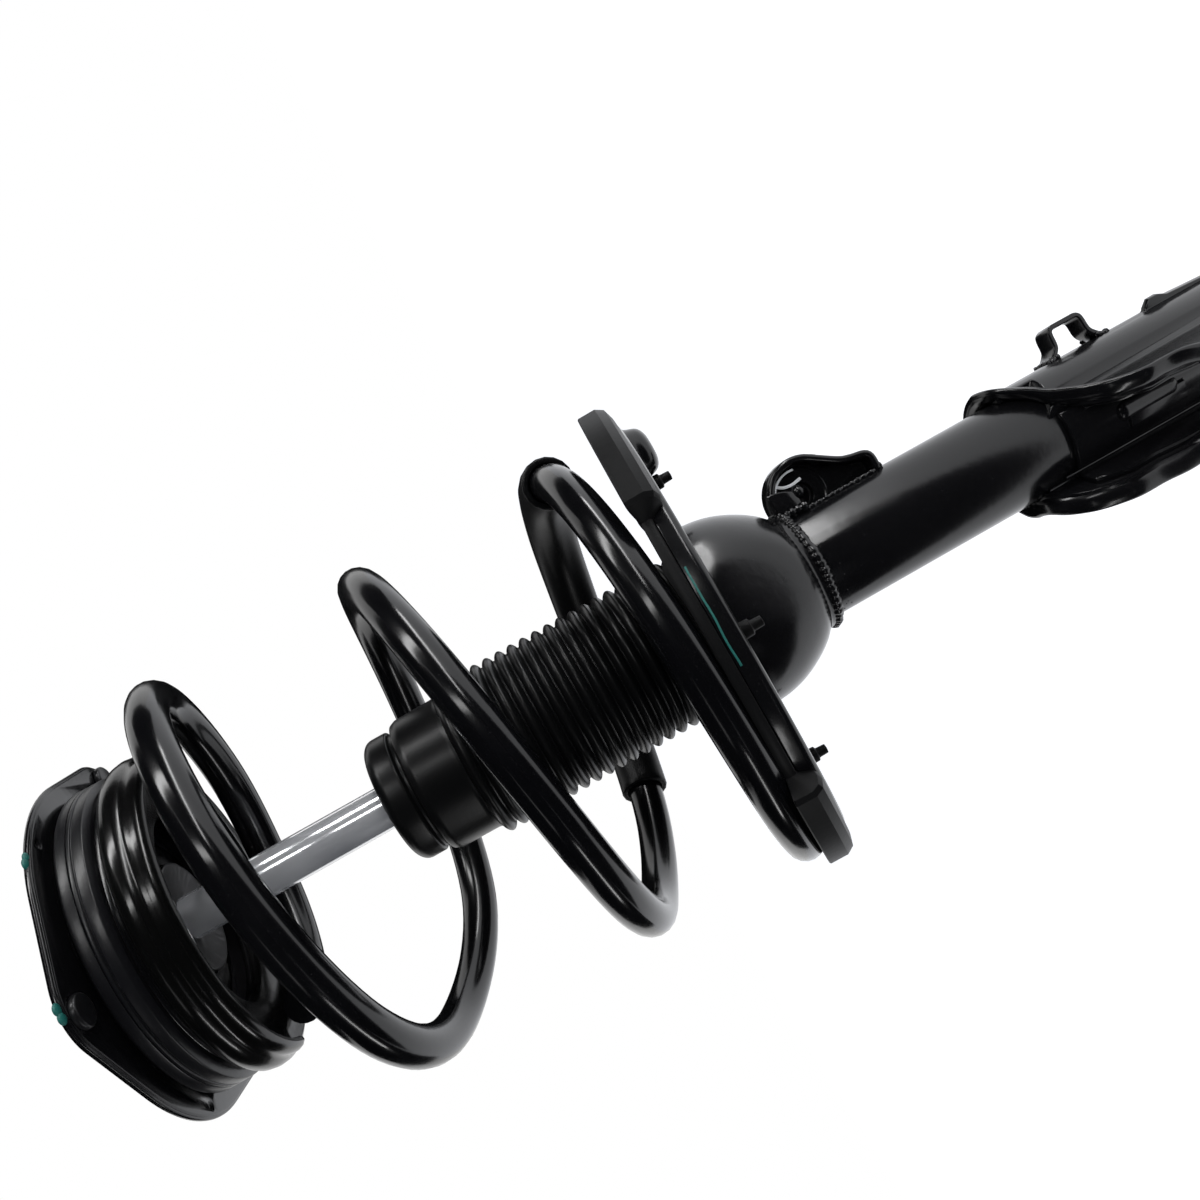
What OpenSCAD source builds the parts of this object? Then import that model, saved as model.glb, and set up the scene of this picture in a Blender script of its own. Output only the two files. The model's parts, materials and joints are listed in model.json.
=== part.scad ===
// Front suspension strut: damper, coil spring, top mount and knuckle clevis.
// Frame: +Z runs up the strut axis to the top mount. The origin is the centre
// of the bolt circle on the mount plate's top face. The clevis opens to -Y.

/* [Top mount] */
// Thickness of the stamped mount plate
plate_t = 4; // [3:0.5:6]
// Radius of the plate between its lobes
plate_r = 80; // [78:1:92]
// Reach of a lobe's arc centre from the axis
lobe_reach = 66; // [60:1:76]
// Radius of a lobe's arc
lobe_r = 25; // [20:1:32]
// Diameter of the circle through the body bolts
bolt_pcd = 166; // [158:1:172]
// Thread diameter of the body bolts
bolt_d = 8; // [6:1:10]
// Outer diameter of the rubber bush
bush_d = 72; // [60:1:76]
// Height of the rubber bush's cup above the plate
bush_rise = 12; // [8:1:18]
// Depth of the rubber bush's cup below the plate
bush_drop = 16; // [12:1:20]

/* [Top bearing and upper seat] */
// Outer diameter of the bearing races
race_d = 144; // [136:1:152]
// Height of one bearing race
race_h = 9; // [8:0.5:12]
// Radius of the circle through the bearing balls
ball_track_r = 61; // [58:1:63]
// Diameter of a bearing ball
ball_d = 5; // [4:0.5:6]
// Number of bearing balls
ball_count = 40; // [24:1:48]
// Height of the upper spring seat
upper_seat_h = 4; // [3:0.5:8]
// Depth of the upper rubber isolator below the seat
upper_rubber_h = 11.4; // [9:0.2:16]
// Radius of the opening through the seat and the isolator
seat_bore_r = 44; // [42.5:0.5:46]

/* [Spring] */
// Diameter of the spring wire
wire_d = 17.5; // [14:0.5:21]
// Mean diameter of the spring's body
coil_d = 191; // [158:1:230]
// Growth of the mean diameter in the coil that lies on the lower seat
end_coil_grow = 12; // [4:1:18]
// Mean diameter of the upper end of the wire
pigtail_d = 116; // [110:1:124]
// Height from the lower end of the wire to the upper end
spring_h = 232; // [190:2:280]
// Shift of the spring's body off the strut axis
spring_shift = 3.5; // [0:0.5:6]
// Wall of the rubber sleeve on the lower coil
sleeve_wall = 3; // [2:0.5:5]

/* [Damper] */
// Diameter of the chrome piston rod
rod_d = 20; // [17:0.5:24]
// Outer diameter of the strut tube
tube_d = 51; // [45:0.5:62]
// Wall of the strut tube
tube_wall = 2.5; // [2:0.25:3.5]
// Length of the tube above the lower spring seat
tube_above = 82; // [70:1:95]
// Length of the tube below the lower spring seat
tube_below = 309; // [255:1:372]
// Travel from full droop to full bump
stroke = 130; // [100:5:140]
// Bore of the inner cylinder
cylinder_bore = 30; // [27:0.5:33]
// Wall of the inner cylinder
cylinder_wall = 1.5; // [1:0.25:2]

/* [Boot and bump stop] */
// Outer diameter of the boot's ribs
boot_d = 74; // [70:1:82]
// Distance from rib to rib
rib_pitch = 6.3; // [5:0.1:8]
// Number of ribs
rib_count = 20; // [14:1:22]
// Outer diameter of the boot's collar
collar_d = 62; // [58:1:68]
// Length of the boot's collar
collar_h = 39; // [32:1:46]

/* [Lower spring seat] */
// Distance from the lowest coil's centre line to the edge of the lower seat
pan_margin = 2; // [1:0.5:6]
// Sheet thickness of the lower seat
pan_t = 3; // [2:0.5:4]
// Height of the seat's rim above its floor
pan_rim_h = 5.5; // [4:0.5:7]
// Tilt of the lower seat
seat_tilt = 9; // [0:0.5:12]
// Angle from the clevis to the seat's high side, about the strut axis
seat_turn = 22; // [0:1:45]
// Thickness of the rubber between the wire and the seat's floor
seat_pad = 8; // [7:0.5:10]
// Lean of the lower seat across its tilt
seat_lean = 0.6; // [0:0.1:3]
// Radius of the bell below the seat
bell_r = 46; // [43:1:52]
// Height of the bell
bell_h = 43; // [36:1:52]
// Sheet thickness of the bell
bell_t = 3; // [2:0.5:4]
// Length of a rubber nipple below the seat
nipple_len = 10; // [8:1:18]

/* [Brackets] */
// Depth of the knuckle bracket's upper edge below the lower seat
clevis_drop = 161; // [145:1:170]
// Length of the knuckle bracket
clevis_h = 165; // [155:1:190]
// Sheet thickness of the outer bracket
outer_t = 3.5; // [2.5:0.25:5]
// Sheet thickness of the inner bracket
inner_t = 3; // [2:0.25:4]
// Clear gap between the clevis ears
clevis_gap = 28; // [24:1:32]
// Diameter of a knuckle bolt hole
bolt_hole_d = 14.2; // [12.2:0.1:16.2]
// Distance from the strut axis to the bolt holes
bolt_reach = 47; // [44:1:52]
// Distance between the two bolt holes
bolt_spacing = 48; // [40:1:58]
// Outer radius of the stabiliser bracket's cup
link_cup_r = 18; // [16:0.5:21]
// Diameter of the stabiliser link's hole
link_hole_d = 12.2; // [10.2:0.1:14.2]
// Diameter of the brake hose bracket's hole
hose_hole_d = 9; // [7:0.5:11]

/* [Hidden] */
$fn = 96;

// Clearances
soft_gap = 0.3;      // between a rubber part and a moving neighbour
run_gap = 0.05;      // radial gap of a running fit
seat_gap = 0.3;      // between parts of different bodies that nearly touch
cut = 1;             // how far a cutter passes a face
far = 400;           // size of a half-space cutter

// Top mount levels, from the plate down
bush_r = bush_d / 2;
cup_t = 3;
bush_lip_r = bush_r - 8;
sleeve_r = 14;
thread_r = rod_d / 2 - 3;
washer_t = 3;
nut_h = 13;
z_bush_top = bush_rise;
z_bush_low = -plate_t - bush_drop;
z_shoulder = z_bush_low - 3;
race_r = race_d / 2;
race_in_r = ball_track_r - 8;
z_race_top = -plate_t;
z_track = z_race_top - race_h - seat_gap / 2;
z_race_low = z_race_top - 2 * race_h - seat_gap;
z_seat_low = z_race_low - upper_seat_h;
z_rubber_low = z_seat_low - upper_rubber_h;
lip_h = 8.6;

// Spring levels
wire_r = wire_d / 2;
end_coil_d = coil_d + end_coil_grow;
pan_r = end_coil_d / 2 + pan_margin;
z_coil_top = z_rubber_low - wire_r - seat_gap;
z_coil_low = z_coil_top - spring_h;
coil_start = 180 + seat_turn;
rings_per_turn = 30;
wire_sides = 10;
// [turn, share of the height, share of the way from body to end radius]
wire_path = [
  [0, 0, 1], [0.06, 0.0265, 0.8], [0.125, 0.0535, 0.5], [0.1875, 0.071, 0.2], [0.25, 0.082, 0.05],
  [0.5, 0.111, 0], [0.69, 0.15, 0], [0.86, 0.219, 0],
  [1, 0.314, 0], [1.23, 0.395, 0], [1.5, 0.529, 0], [1.68, 0.594, 0], [1.86, 0.65, 0],
  [2, 0.762, 0], [2.23, 0.852, 0], [2.5, 0.96, 0.03], [2.62, 0.983, 0.5], [2.75, 1, 0.88],
  [3, 1, 1]
];
coil_turns = wire_path[len(wire_path) - 1][0];
sleeve_from = 0.48;
sleeve_to = 0.86;

// Lower seat frame: its floor passes below the lower end of the wire
z_pan = z_coil_low - wire_r - seat_pad + end_coil_d / 2 * sin(seat_lean);
pan_hole_r = tube_d / 2 + 7;
rubber_in_r = 62;
skirt_t = 6;
skirt_up = 8;
nipple_r = 3;
nipple_reach = 72.5;
z_weld = z_pan - bell_h;

// Damper levels
tube_r = tube_d / 2;
bore_r = tube_r - tube_wall;
rod_r = rod_d / 2;
z_tube_top = z_pan + tube_above;
z_tube_low = z_pan - tube_below;
cap_t = 1.5;
cap_skirt = 12;
z_cap_top = z_tube_top + cap_t;
seal_h = 6;
guide_h = 20;
z_guide_top = z_tube_top - seal_h - 1;
z_guide_low = z_guide_top - guide_h;
cyl_r = cylinder_bore / 2;
cyl_out_r = cyl_r + cylinder_wall;
rebound_h = 14;
z_rebound_low = z_guide_low - seat_gap - rebound_h;
rebound_collar_h = 5;
piston_h = 18;
piston_nut_h = 9;
z_piston_top = z_rebound_low - 70;
z_piston_low = z_piston_top - piston_h;
base_t = 4;
valve_h = 14;
z_valve_top = z_tube_low + base_t + valve_h + 3;

// Boot and bump stop levels
boot_r = boot_d / 2;
boot_wall = 2;
rib_depth = 4.5;
foot_lift = pan_hole_r * tan(seat_tilt) + 4 * tan(seat_tilt);
z_boot_low = z_pan + foot_lift + soft_gap;
z_rib_top = z_boot_low + rib_count * rib_pitch;
z_boot_top = z_rib_top + collar_h;
collar_r = collar_d / 2;
bump_r = 24.5;

// Knuckle bracket
z_clevis_top = z_pan - clevis_drop;
z_clevis_low = z_clevis_top - clevis_h;
wrap_r = tube_r + outer_t;
ear_in = clevis_gap / 2 + inner_t;
ear_out = ear_in + outer_t;
ear_edge = bolt_reach + bolt_hole_d / 2 + 9;
z_bolt_low = z_clevis_low + bolt_hole_d / 2 + 12;
z_bolt_top = z_bolt_low + bolt_spacing;
lip_t = 3.5;
lip_w = 6;
ear_waist = tube_r + 20;

// ---- Small shapes ----

// A ring about the axis from z0 up to z1
module ring(r_out, r_in, z0, z1) {
  translate([0, 0, z0])
    difference() {
      cylinder(r = r_out, h = z1 - z0);
      translate([0, 0, -cut]) cylinder(r = r_in, h = z1 - z0 + 2 * cut);
    }
}

// A solid of revolution from [radius, z] points
module turned(points) {
  rotate_extrude() polygon(points);
}

module seat_frame() {
  rotate([0, 0, seat_turn])
    translate([-spring_shift, 0, z_pan])
      rotate([-seat_tilt, -seat_lean, 0]) children();
}

// Places copies round the axis
module around(count, start = 0) {
  for (i = [0:count - 1]) rotate([0, 0, start + i * 360 / count]) children();
}

// ---- Top mount ----

// Plate outline: a disc with three broad lobes joined by tangents
lobe_angle = acos((plate_r - lobe_r) / lobe_reach);
function polar(r, a) = [r * cos(a), r * sin(a)];
module plate_outline(grow = 0) {
  circle(r = plate_r + grow);
  for (i = [0:2])
    rotate([0, 0, bolt_angle + i * 120]) {
      translate([lobe_reach, 0]) circle(r = lobe_r + grow);
      polygon([
        polar(plate_r + grow, lobe_angle),
        polar(plate_r + grow, -lobe_angle),
        [lobe_reach, 0] + polar(lobe_r + grow, -lobe_angle),
        [lobe_reach, 0] + polar(lobe_r + grow, lobe_angle)
      ]);
    }
}
bolt_angle = seat_turn - 93;

nut_r = bolt_d / 2 + 3;
nut_drop = 3;
module mount_plate() {
  color([0.04, 0.04, 0.045])
    difference() {
      union() {
        translate([0, 0, -plate_t]) linear_extrude(plate_t) plate_outline(-1);
        translate([0, 0, 1 - plate_t]) linear_extrude(plate_t - 2) plate_outline();
      }
      translate([0, 0, -plate_t - cut]) cylinder(r = bush_r + cup_t, h = plate_t + 2 * cut);
      around(3, bolt_angle)
        translate([bolt_pcd / 2, 0, -plate_t - cut]) cylinder(r = bolt_d / 2 + 1.5, h = plate_t + 2 * cut);
      // small locating dimples in the underside
      around(3, bolt_angle + 54)
        translate([plate_r - 5, 0, -plate_t - cut]) cylinder(r = 1.8, h = cut + 1.2, $fn = 32);
    }
}

// Blind nuts pressed into the plate, open on top for the body's bolts
module mount_nuts() {
  color([0.3, 0.31, 0.32])
    around(3, bolt_angle)
      translate([bolt_pcd / 2, 0, 0])
        difference() {
          union() {
            translate([0, 0, -plate_t]) cylinder(r = bolt_d / 2 + 1.5, h = plate_t, $fn = 48);
            translate([0, 0, -plate_t - nut_drop + 0.8]) cylinder(r = nut_r, h = nut_drop - 0.8, $fn = 48);
            translate([0, 0, -plate_t - nut_drop]) cylinder(r1 = nut_r - 0.8, r2 = nut_r, h = 0.8, $fn = 48);
          }
          translate([0, 0, -plate_t - nut_drop + 1]) cylinder(d = bolt_d, h = plate_t + nut_drop, $fn = 48);
        }
}

// Stamped cup that holds the rubber bush in the plate
module bush_cup() {
  color([0.04, 0.04, 0.045])
    turned([
      [bush_r, z_bush_top], [bush_r + cup_t, z_bush_top], [bush_r + cup_t, z_bush_low],
      [bush_lip_r, z_bush_low], [bush_lip_r, z_bush_low + cup_t], [bush_r, z_bush_low + cup_t]
    ]);
}

module bush_rubber() {
  color([0.03, 0.03, 0.03])
    turned([
      [sleeve_r, z_bush_low + cup_t + 2], [bush_lip_r, z_bush_low + cup_t],
      [bush_r, z_bush_low + cup_t], [bush_r, z_bush_top - 1], [bush_r - 3, z_bush_top + 1],
      [sleeve_r + 8, z_bush_top + 1], [sleeve_r + 4, z_bush_top - 2], [sleeve_r, z_bush_top - 2]
    ]);
}

z_sleeve_top = z_bush_top + 2;
module bush_sleeve() {
  color([0.5, 0.5, 0.52])
    ring(sleeve_r, thread_r, z_shoulder + washer_t, z_sleeve_top);
}

// Dished washer on the rod's shoulder
module rod_washer_lower() {
  color([0.2, 0.2, 0.21])
    difference() {
      turned([
        [thread_r, z_shoulder], [18, z_shoulder], [25, z_shoulder - 2.5], [26, z_shoulder - 2.5],
        [26, z_shoulder], [19, z_shoulder + washer_t], [thread_r, z_shoulder + washer_t]
      ]);
    }
}

module rod_washer_upper() {
  color([0.5, 0.5, 0.52])
    ring(20, thread_r, z_sleeve_top, z_sleeve_top + washer_t);
}

z_nut = z_sleeve_top + washer_t;
module rod_nut() {
  color([0.55, 0.56, 0.58])
    difference() {
      union() {
        translate([0, 0, z_nut]) cylinder(r = thread_r + 8, h = 2);
        translate([0, 0, z_nut + 2]) cylinder(r = thread_r + 5.5, h = nut_h - 2, $fn = 6);
      }
      translate([0, 0, z_nut - cut]) cylinder(r = thread_r, h = nut_h + 2 * cut);
    }
}

// ---- Bearing and upper seat ----

track_r = ball_d / 2 + run_gap;
module bearing_upper_race() {
  color([0.1, 0.1, 0.105])
    rotate_extrude()
      difference() {
        polygon([
          [race_in_r, z_race_top], [ball_track_r + 1, z_race_top], [ball_track_r + 1, z_race_top - 3],
          [race_r - 1.5, z_race_top - 3], [race_r, z_race_top - 4.5],
          [race_r, z_track + seat_gap / 2], [race_in_r, z_track + seat_gap / 2]
        ]);
        translate([ball_track_r, z_track]) circle(r = track_r, $fn = 48);
      }
}

module bearing_lower_race() {
  color([0.13, 0.13, 0.135])
    rotate_extrude()
      difference() {
        polygon([
          [race_in_r, z_track - seat_gap / 2], [race_r, z_track - seat_gap / 2],
          [race_r, z_track - 1.6], [race_r - 0.9, z_track - 1.9], [race_r - 0.9, z_track - 2.3],
          [race_r, z_track - 2.6], [race_r, z_race_low + 2], [race_r - 3, z_race_low],
          [race_in_r, z_race_low]
        ]);
        translate([ball_track_r, z_track]) circle(r = track_r, $fn = 48);
      }
}

module bearing_balls() {
  color([0.7, 0.7, 0.72])
    around(ball_count)
      translate([ball_track_r, 0, z_track]) sphere(d = ball_d, $fn = 24);
}

// Thin retaining strip beside the balls, in the gap inside the races
module bearing_cage() {
  color([0.75, 0.7, 0.55])
    difference() {
      ring(ball_track_r + ball_d / 2 - 1, race_in_r - 3, z_track - seat_gap / 2 + run_gap,
           z_track + seat_gap / 2 - run_gap);
      around(ball_count)
        translate([ball_track_r, 0, z_track - cut]) cylinder(r = ball_d / 2 + run_gap, h = 2 * cut, $fn = 24);
    }
}

module upper_spring_seat() {
  color([0.05, 0.05, 0.055])
    turned([
      [seat_bore_r + 2, z_race_low], [race_r - 5, z_race_low], [race_r - 6.5, z_race_low - 2],
      [race_r - 6.5, z_seat_low + 1.5], [race_r - 4, z_seat_low], [seat_bore_r + 2, z_seat_low]
    ]);
}

// Rubber ring under the seat. The wire's end lies flat against it, and a
// rounded lip closes round the wire's end where the wire isn't on its way in
lip_angle = coil_start + 5;
module upper_isolator() {
  lip_r = pigtail_d / 2 + wire_r + 0.6;
  rim_r = race_r + 2.5;
  z0 = z_rubber_low;
  color([0.045, 0.045, 0.045]) {
    turned([
      [seat_bore_r + 2, z_seat_low], [race_r - 4, z_seat_low], [race_r - 1.5, z_seat_low - 1],
      [rim_r - 1.5, z_seat_low - 3.5], [rim_r, z_seat_low - 7], [rim_r - 0.5, z0 + 1], [rim_r - 1, z0],
      [seat_bore_r + 5, z0], [seat_bore_r + 2, z0 + 3], [seat_bore_r, z_seat_low - 5],
      [seat_bore_r, z_seat_low - 1]
    ]);
    sector(lip_angle, lip_angle + 168, [
      [rim_r - 1, z0 + 1], [rim_r - 1, z0], [rim_r - 2.5, z0 - 3], [lip_r + 3, z0 - lip_h + 1.5],
      [lip_r + 1, z0 - lip_h], [lip_r, z0 - lip_h + 1], [lip_r, z0 + 1]
    ]);
  }
}

// ---- Coil spring ----

// Smooth interpolation of a wire_path column at turn t
function row_at(t, i = 0) = i >= len(wire_path) - 2 || t < wire_path[i + 1][0] ? i : row_at(t, i + 1);
function slope_at(i, c) =
  let (a = max(i - 1, 0), b = min(i + 1, len(wire_path) - 1))
  (wire_path[b][c] - wire_path[a][c]) / (wire_path[b][0] - wire_path[a][0]);
function path_value(t, c) =
  let (
    i = row_at(t),
    step = wire_path[i + 1][0] - wire_path[i][0],
    u = (t - wire_path[i][0]) / step,
    h00 = (1 + 2 * u) * pow(1 - u, 2), h10 = u * pow(1 - u, 2),
    h01 = u * u * (3 - 2 * u), h11 = u * u * (u - 1)
  )
  h00 * wire_path[i][c] + h10 * step * slope_at(i, c)
  + h01 * wire_path[i + 1][c] + h11 * step * slope_at(i + 1, c);

// Centre of the wire at turn t
function wire_centre(t) =
  let (
    end_r = t < coil_turns / 2 ? end_coil_d / 2 : pigtail_d / 2,
    share = min(1, max(0, path_value(t, 2))),
    r = coil_d / 2 * (1 - share) + end_r * share,
    a = coil_start + 360 * t,
    shift = spring_shift * (t < coil_turns / 2 ? 1 : 1 - share),
    off = polar(shift, 180 + seat_turn)
  )
  [r * cos(a) + off[0], r * sin(a) + off[1], z_coil_low + spring_h * min(1, path_value(t, 1))];

function unit(v) = v / norm(v);
function wire_tangent(t) = unit(wire_centre(t + 0.01) - wire_centre(t - 0.01));

// One ring of points square to the wire at turn t
function wire_ring(t, r, sides) =
  let (
    c = wire_centre(t), d = wire_tangent(t),
    out = unit([c[0], c[1], 0] - d * ([c[0], c[1], 0] * d)),
    up = cross(d, out)
  )
  [for (k = [0:sides - 1]) c + r * (out * cos(360 * k / sides) + up * sin(360 * k / sides))];

// Joins rings of equal size with triangles; ring order runs along the tube
function band(n, sides, flip = false) = [
  for (i = [0:n - 2], k = [0:sides - 1])
    let (
      a = i * sides + k, b = i * sides + (k + 1) % sides,
      c = a + sides, d = b + sides
    )
    each (flip ? [[a, d, b], [a, c, d]] : [[a, b, d], [a, d, c]])
];
function cap_low(sides) = [for (k = [1:sides - 2]) [0, k + 1, k]];
function cap_high(n, sides) = [for (k = [1:sides - 2]) let (o = (n - 1) * sides) [o, o + k, o + k + 1]];

// The turn values run a little short of the ends, and a shrunken ring rounds each end
wire_steps = round(coil_turns * rings_per_turn);
end_round = 0.5 * wire_r / (PI * coil_d / 2) / 2;
wire_t = [for (i = [0:wire_steps]) end_round + (coil_turns - 2 * end_round) * i / wire_steps];

module coil_spring() {
  rings = concat(
    [wire_ring(0.012, wire_r * 0.55, wire_sides)],
    [for (i = [1:wire_steps - 1]) wire_ring(wire_t[i], wire_r, wire_sides)],
    [wire_ring(coil_turns - 0.012, wire_r * 0.55, wire_sides)]
  );
  points = [for (ring_points = rings) each ring_points];
  color([0.03, 0.03, 0.032])
    polyhedron(
      points = points,
      faces = concat(band(len(rings), wire_sides), cap_low(wire_sides), cap_high(len(rings), wire_sides))
    );
}

// Least gap between neighbouring turns, measured on centre points
turn_gap = min([
  for (i = [0:wire_steps], j = [i + rings_per_turn - 8:1:min(wire_steps, i + rings_per_turn + 8)])
    norm(wire_centre(wire_t[i]) - wire_centre(wire_t[j])) - wire_d
]);
echo(turn_gap = turn_gap);

// Rubber sleeve pushed over part of the lowest coil
module spring_sleeve() {
  sides = wire_sides;
  first = round(sleeve_from * rings_per_turn);
  n = round((sleeve_to - sleeve_from) * rings_per_turn) + 1;
  t = [for (i = [0:n - 1]) wire_t[first + i]];
  r_in = wire_r + soft_gap;
  r_out = r_in + sleeve_wall;
  outer = [for (v = t) each wire_ring(v, r_out, sides)];
  inner = [for (v = t) each wire_ring(v, r_in, sides)];
  shift_by = n * sides;
  last = (n - 1) * sides;
  color([0.025, 0.025, 0.025])
    polyhedron(
      points = concat(outer, inner),
      faces = concat(
        band(n, sides),
        [for (f = band(n, sides, true)) [f[0] + shift_by, f[1] + shift_by, f[2] + shift_by]],
        [for (k = [0:sides - 1])
          let (b = (k + 1) % sides)
          each [[k, shift_by + b, b], [k, shift_by + k, shift_by + b],
                [last + k, last + b, last + shift_by + b], [last + k, last + shift_by + b, last + shift_by + k]]]
      )
    );
}

// ---- Rod, piston and inner damper ----

rod_end = z_nut + nut_h + 5;
module piston_rod() {
  color([0.85, 0.86, 0.88])
    union() {
      translate([0, 0, z_piston_top]) cylinder(r = rod_r, h = z_shoulder - z_piston_top);
      translate([0, 0, z_shoulder]) cylinder(r = thread_r, h = rod_end - 1.5 - z_shoulder);
      translate([0, 0, rod_end - 1.5]) cylinder(r1 = thread_r, r2 = thread_r - 1.5, h = 1.5);
      translate([0, 0, z_piston_low - piston_nut_h - 2])
        cylinder(r = rod_r - 4, h = piston_h + piston_nut_h + 2);
    }
}

ring_depth = 1.2;
ring_h = 10;
module piston() {
  color([0.5, 0.5, 0.5])
    difference() {
      ring(cyl_r - run_gap, rod_r - 4, z_piston_low, z_piston_top);
      ring(cyl_r + cut, cyl_r - run_gap - ring_depth, (z_piston_low + z_piston_top - ring_h) / 2,
           (z_piston_low + z_piston_top + ring_h) / 2);
      around(6)
        translate([(rod_r - 4 + cyl_r) / 2, 0, z_piston_low - cut])
          cylinder(r = 1.3, h = piston_h + 2 * cut, $fn = 24);
    }
}

module piston_ring() {
  color([0.25, 0.2, 0.15])
    ring(cyl_r - run_gap / 2, cyl_r - run_gap - ring_depth, (z_piston_low + z_piston_top - ring_h) / 2,
         (z_piston_low + z_piston_top + ring_h) / 2);
}

module piston_nut() {
  color([0.4, 0.4, 0.42])
    difference() {
      translate([0, 0, z_piston_low - piston_nut_h]) cylinder(r = cyl_r - 3.5, h = piston_nut_h, $fn = 6);
      translate([0, 0, z_piston_low - piston_nut_h - cut])
        cylinder(r = rod_r - 4, h = piston_nut_h + 2 * cut);
    }
}

// Rubber ring that stops the rod at full droop
module rebound_stop() {
  color([0.05, 0.05, 0.05])
    turned([
      [rod_r, z_rebound_low], [cyl_r - 1, z_rebound_low], [cyl_r - 1, z_rebound_low + rebound_h - 3],
      [rod_r + 2, z_rebound_low + rebound_h], [rod_r, z_rebound_low + rebound_h]
    ]);
}

module rebound_collar() {
  color([0.5, 0.5, 0.52])
    ring(cyl_r - 1.5, rod_r, z_rebound_low - rebound_collar_h, z_rebound_low);
}

module rod_guide() {
  color([0.35, 0.35, 0.36])
    turned([
      [rod_r + 2, z_guide_low], [cyl_r, z_guide_low], [cyl_r, z_guide_low + 6],
      [bore_r, z_guide_low + 6], [bore_r, z_guide_top], [rod_r + 2, z_guide_top]
    ]);
}

module guide_bush() {
  color([0.3, 0.25, 0.2])
    ring(rod_r + 2, rod_r + run_gap, z_guide_low + 2, z_guide_top - 2);
}

module rod_seal() {
  color([0.06, 0.06, 0.06])
    turned([
      [rod_r + run_gap, z_guide_top], [bore_r, z_guide_top], [bore_r, z_guide_top + seal_h],
      [rod_r + 4, z_guide_top + seal_h], [rod_r + 1.5, z_guide_top + seal_h - 2],
      [rod_r + run_gap, z_guide_top + seal_h - 1]
    ]);
}

// Pressed cap over the tube's end, which the bump stop lands on
module bump_cap() {
  color([0.35, 0.35, 0.36])
    turned([
      [rod_r + 3, z_tube_top], [tube_r, z_tube_top], [tube_r, z_tube_top - cap_skirt],
      [tube_r + cap_t, z_tube_top - cap_skirt], [tube_r + cap_t, z_cap_top - 1],
      [tube_r + cap_t - 1, z_cap_top], [rod_r + 3, z_cap_top]
    ]);
}

module strut_tube() {
  color([0.04, 0.04, 0.045])
    ring(tube_r, bore_r, z_tube_low, z_tube_top);
}

module inner_cylinder() {
  color([0.5, 0.5, 0.52])
    ring(cyl_out_r, cyl_r, z_valve_top - 5, z_guide_low + 6);
}

// Foot valve between the inner cylinder and the base
module base_valve() {
  color([0.45, 0.45, 0.45])
    difference() {
      union() {
        translate([0, 0, z_valve_top - 5]) cylinder(r = cyl_r, h = 5);
        translate([0, 0, z_valve_top - 9]) cylinder(r = cyl_out_r + 1, h = 4);
        around(4)
          translate([cyl_out_r - 4, 0, z_tube_low + base_t])
            cylinder(r = 2.5, h = z_valve_top - 9 - z_tube_low - base_t, $fn = 24);
      }
      around(6)
        translate([cyl_r / 2, 0, z_tube_low]) cylinder(r = 1.5, h = far, $fn = 24);
    }
}

module base_cap() {
  color([0.04, 0.04, 0.045])
    difference() {
      turned([
        [0, z_tube_low - 1], [tube_r - 8, z_tube_low - 1], [tube_r - 4, z_tube_low], [bore_r, z_tube_low],
        [bore_r, z_tube_low + base_t + 4], [bore_r - 3, z_tube_low + base_t + 4],
        [bore_r - 3, z_tube_low + base_t], [0, z_tube_low + base_t]
      ]);
    }
}

// ---- Bump stop and boot ----

// Foam bump stop: three rolls on the rod, standing on the bump cap
module bump_stop() {
  length = z_boot_top - boot_wall - 3 - z_cap_top - soft_gap;
  z0 = z_cap_top + soft_gap;
  rolls = 3;
  roll = length / rolls;
  color([0.75, 0.65, 0.3])
    turned(concat(
      [[rod_r + 0.5, z0]],
      [for (i = [0:rolls - 1])
        each [[bump_r - 4, z0 + i * roll], [bump_r - 1, z0 + i * roll + roll * 0.2],
              [bump_r - 1, z0 + i * roll + roll * 0.75], [bump_r - 4, z0 + i * roll + roll]]],
      [[rod_r + 0.5, z0 + length]]
    ));
}

// Moulded boot: closed collar above, ribs below. Outer and inner outlines are one formula apart
rib_shape = [[0, 0.1], [0.28, 1], [0.5, 1], [0.78, 0.1]];
module dust_boot() {
  root = boot_r - rib_depth;
  outer = [for (i = [0:rib_count - 1], p = rib_shape)
    [root + rib_depth * p[1], z_boot_low + (i + p[0]) * rib_pitch]];
  inner = [for (i = [rib_count - 1:-1:0], k = [len(rib_shape) - 1:-1:0])
    [root + rib_depth * rib_shape[k][1] - boot_wall, z_boot_low + (i + rib_shape[k][0]) * rib_pitch]];
  nose_r = collar_r - 2.5;
  step = collar_h * 0.38;
  color([0.05, 0.05, 0.05])
    turned(concat(
      outer,
      [[collar_r + 1.5, z_rib_top], [collar_r + 1, z_boot_top - step - 9],
       [collar_r, z_boot_top - step - 2], [collar_r - 3.5, z_boot_top - step - 0.5],
       [collar_r - 3.5, z_boot_top - step + 1], [nose_r + 1, z_boot_top - step + 2.5],
       [nose_r + 1, z_boot_top - 5], [nose_r - 0.5, z_boot_top - 1.6], [nose_r - 3, z_boot_top],
       [rod_r + 1, z_boot_top], [rod_r + 1, z_boot_top - boot_wall - 2],
       [bump_r + 0.5, z_boot_top - boot_wall - 2], [bump_r + 0.5, z_rib_top]],
      inner
    ));
}

// ---- Lower spring seat ----

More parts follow.
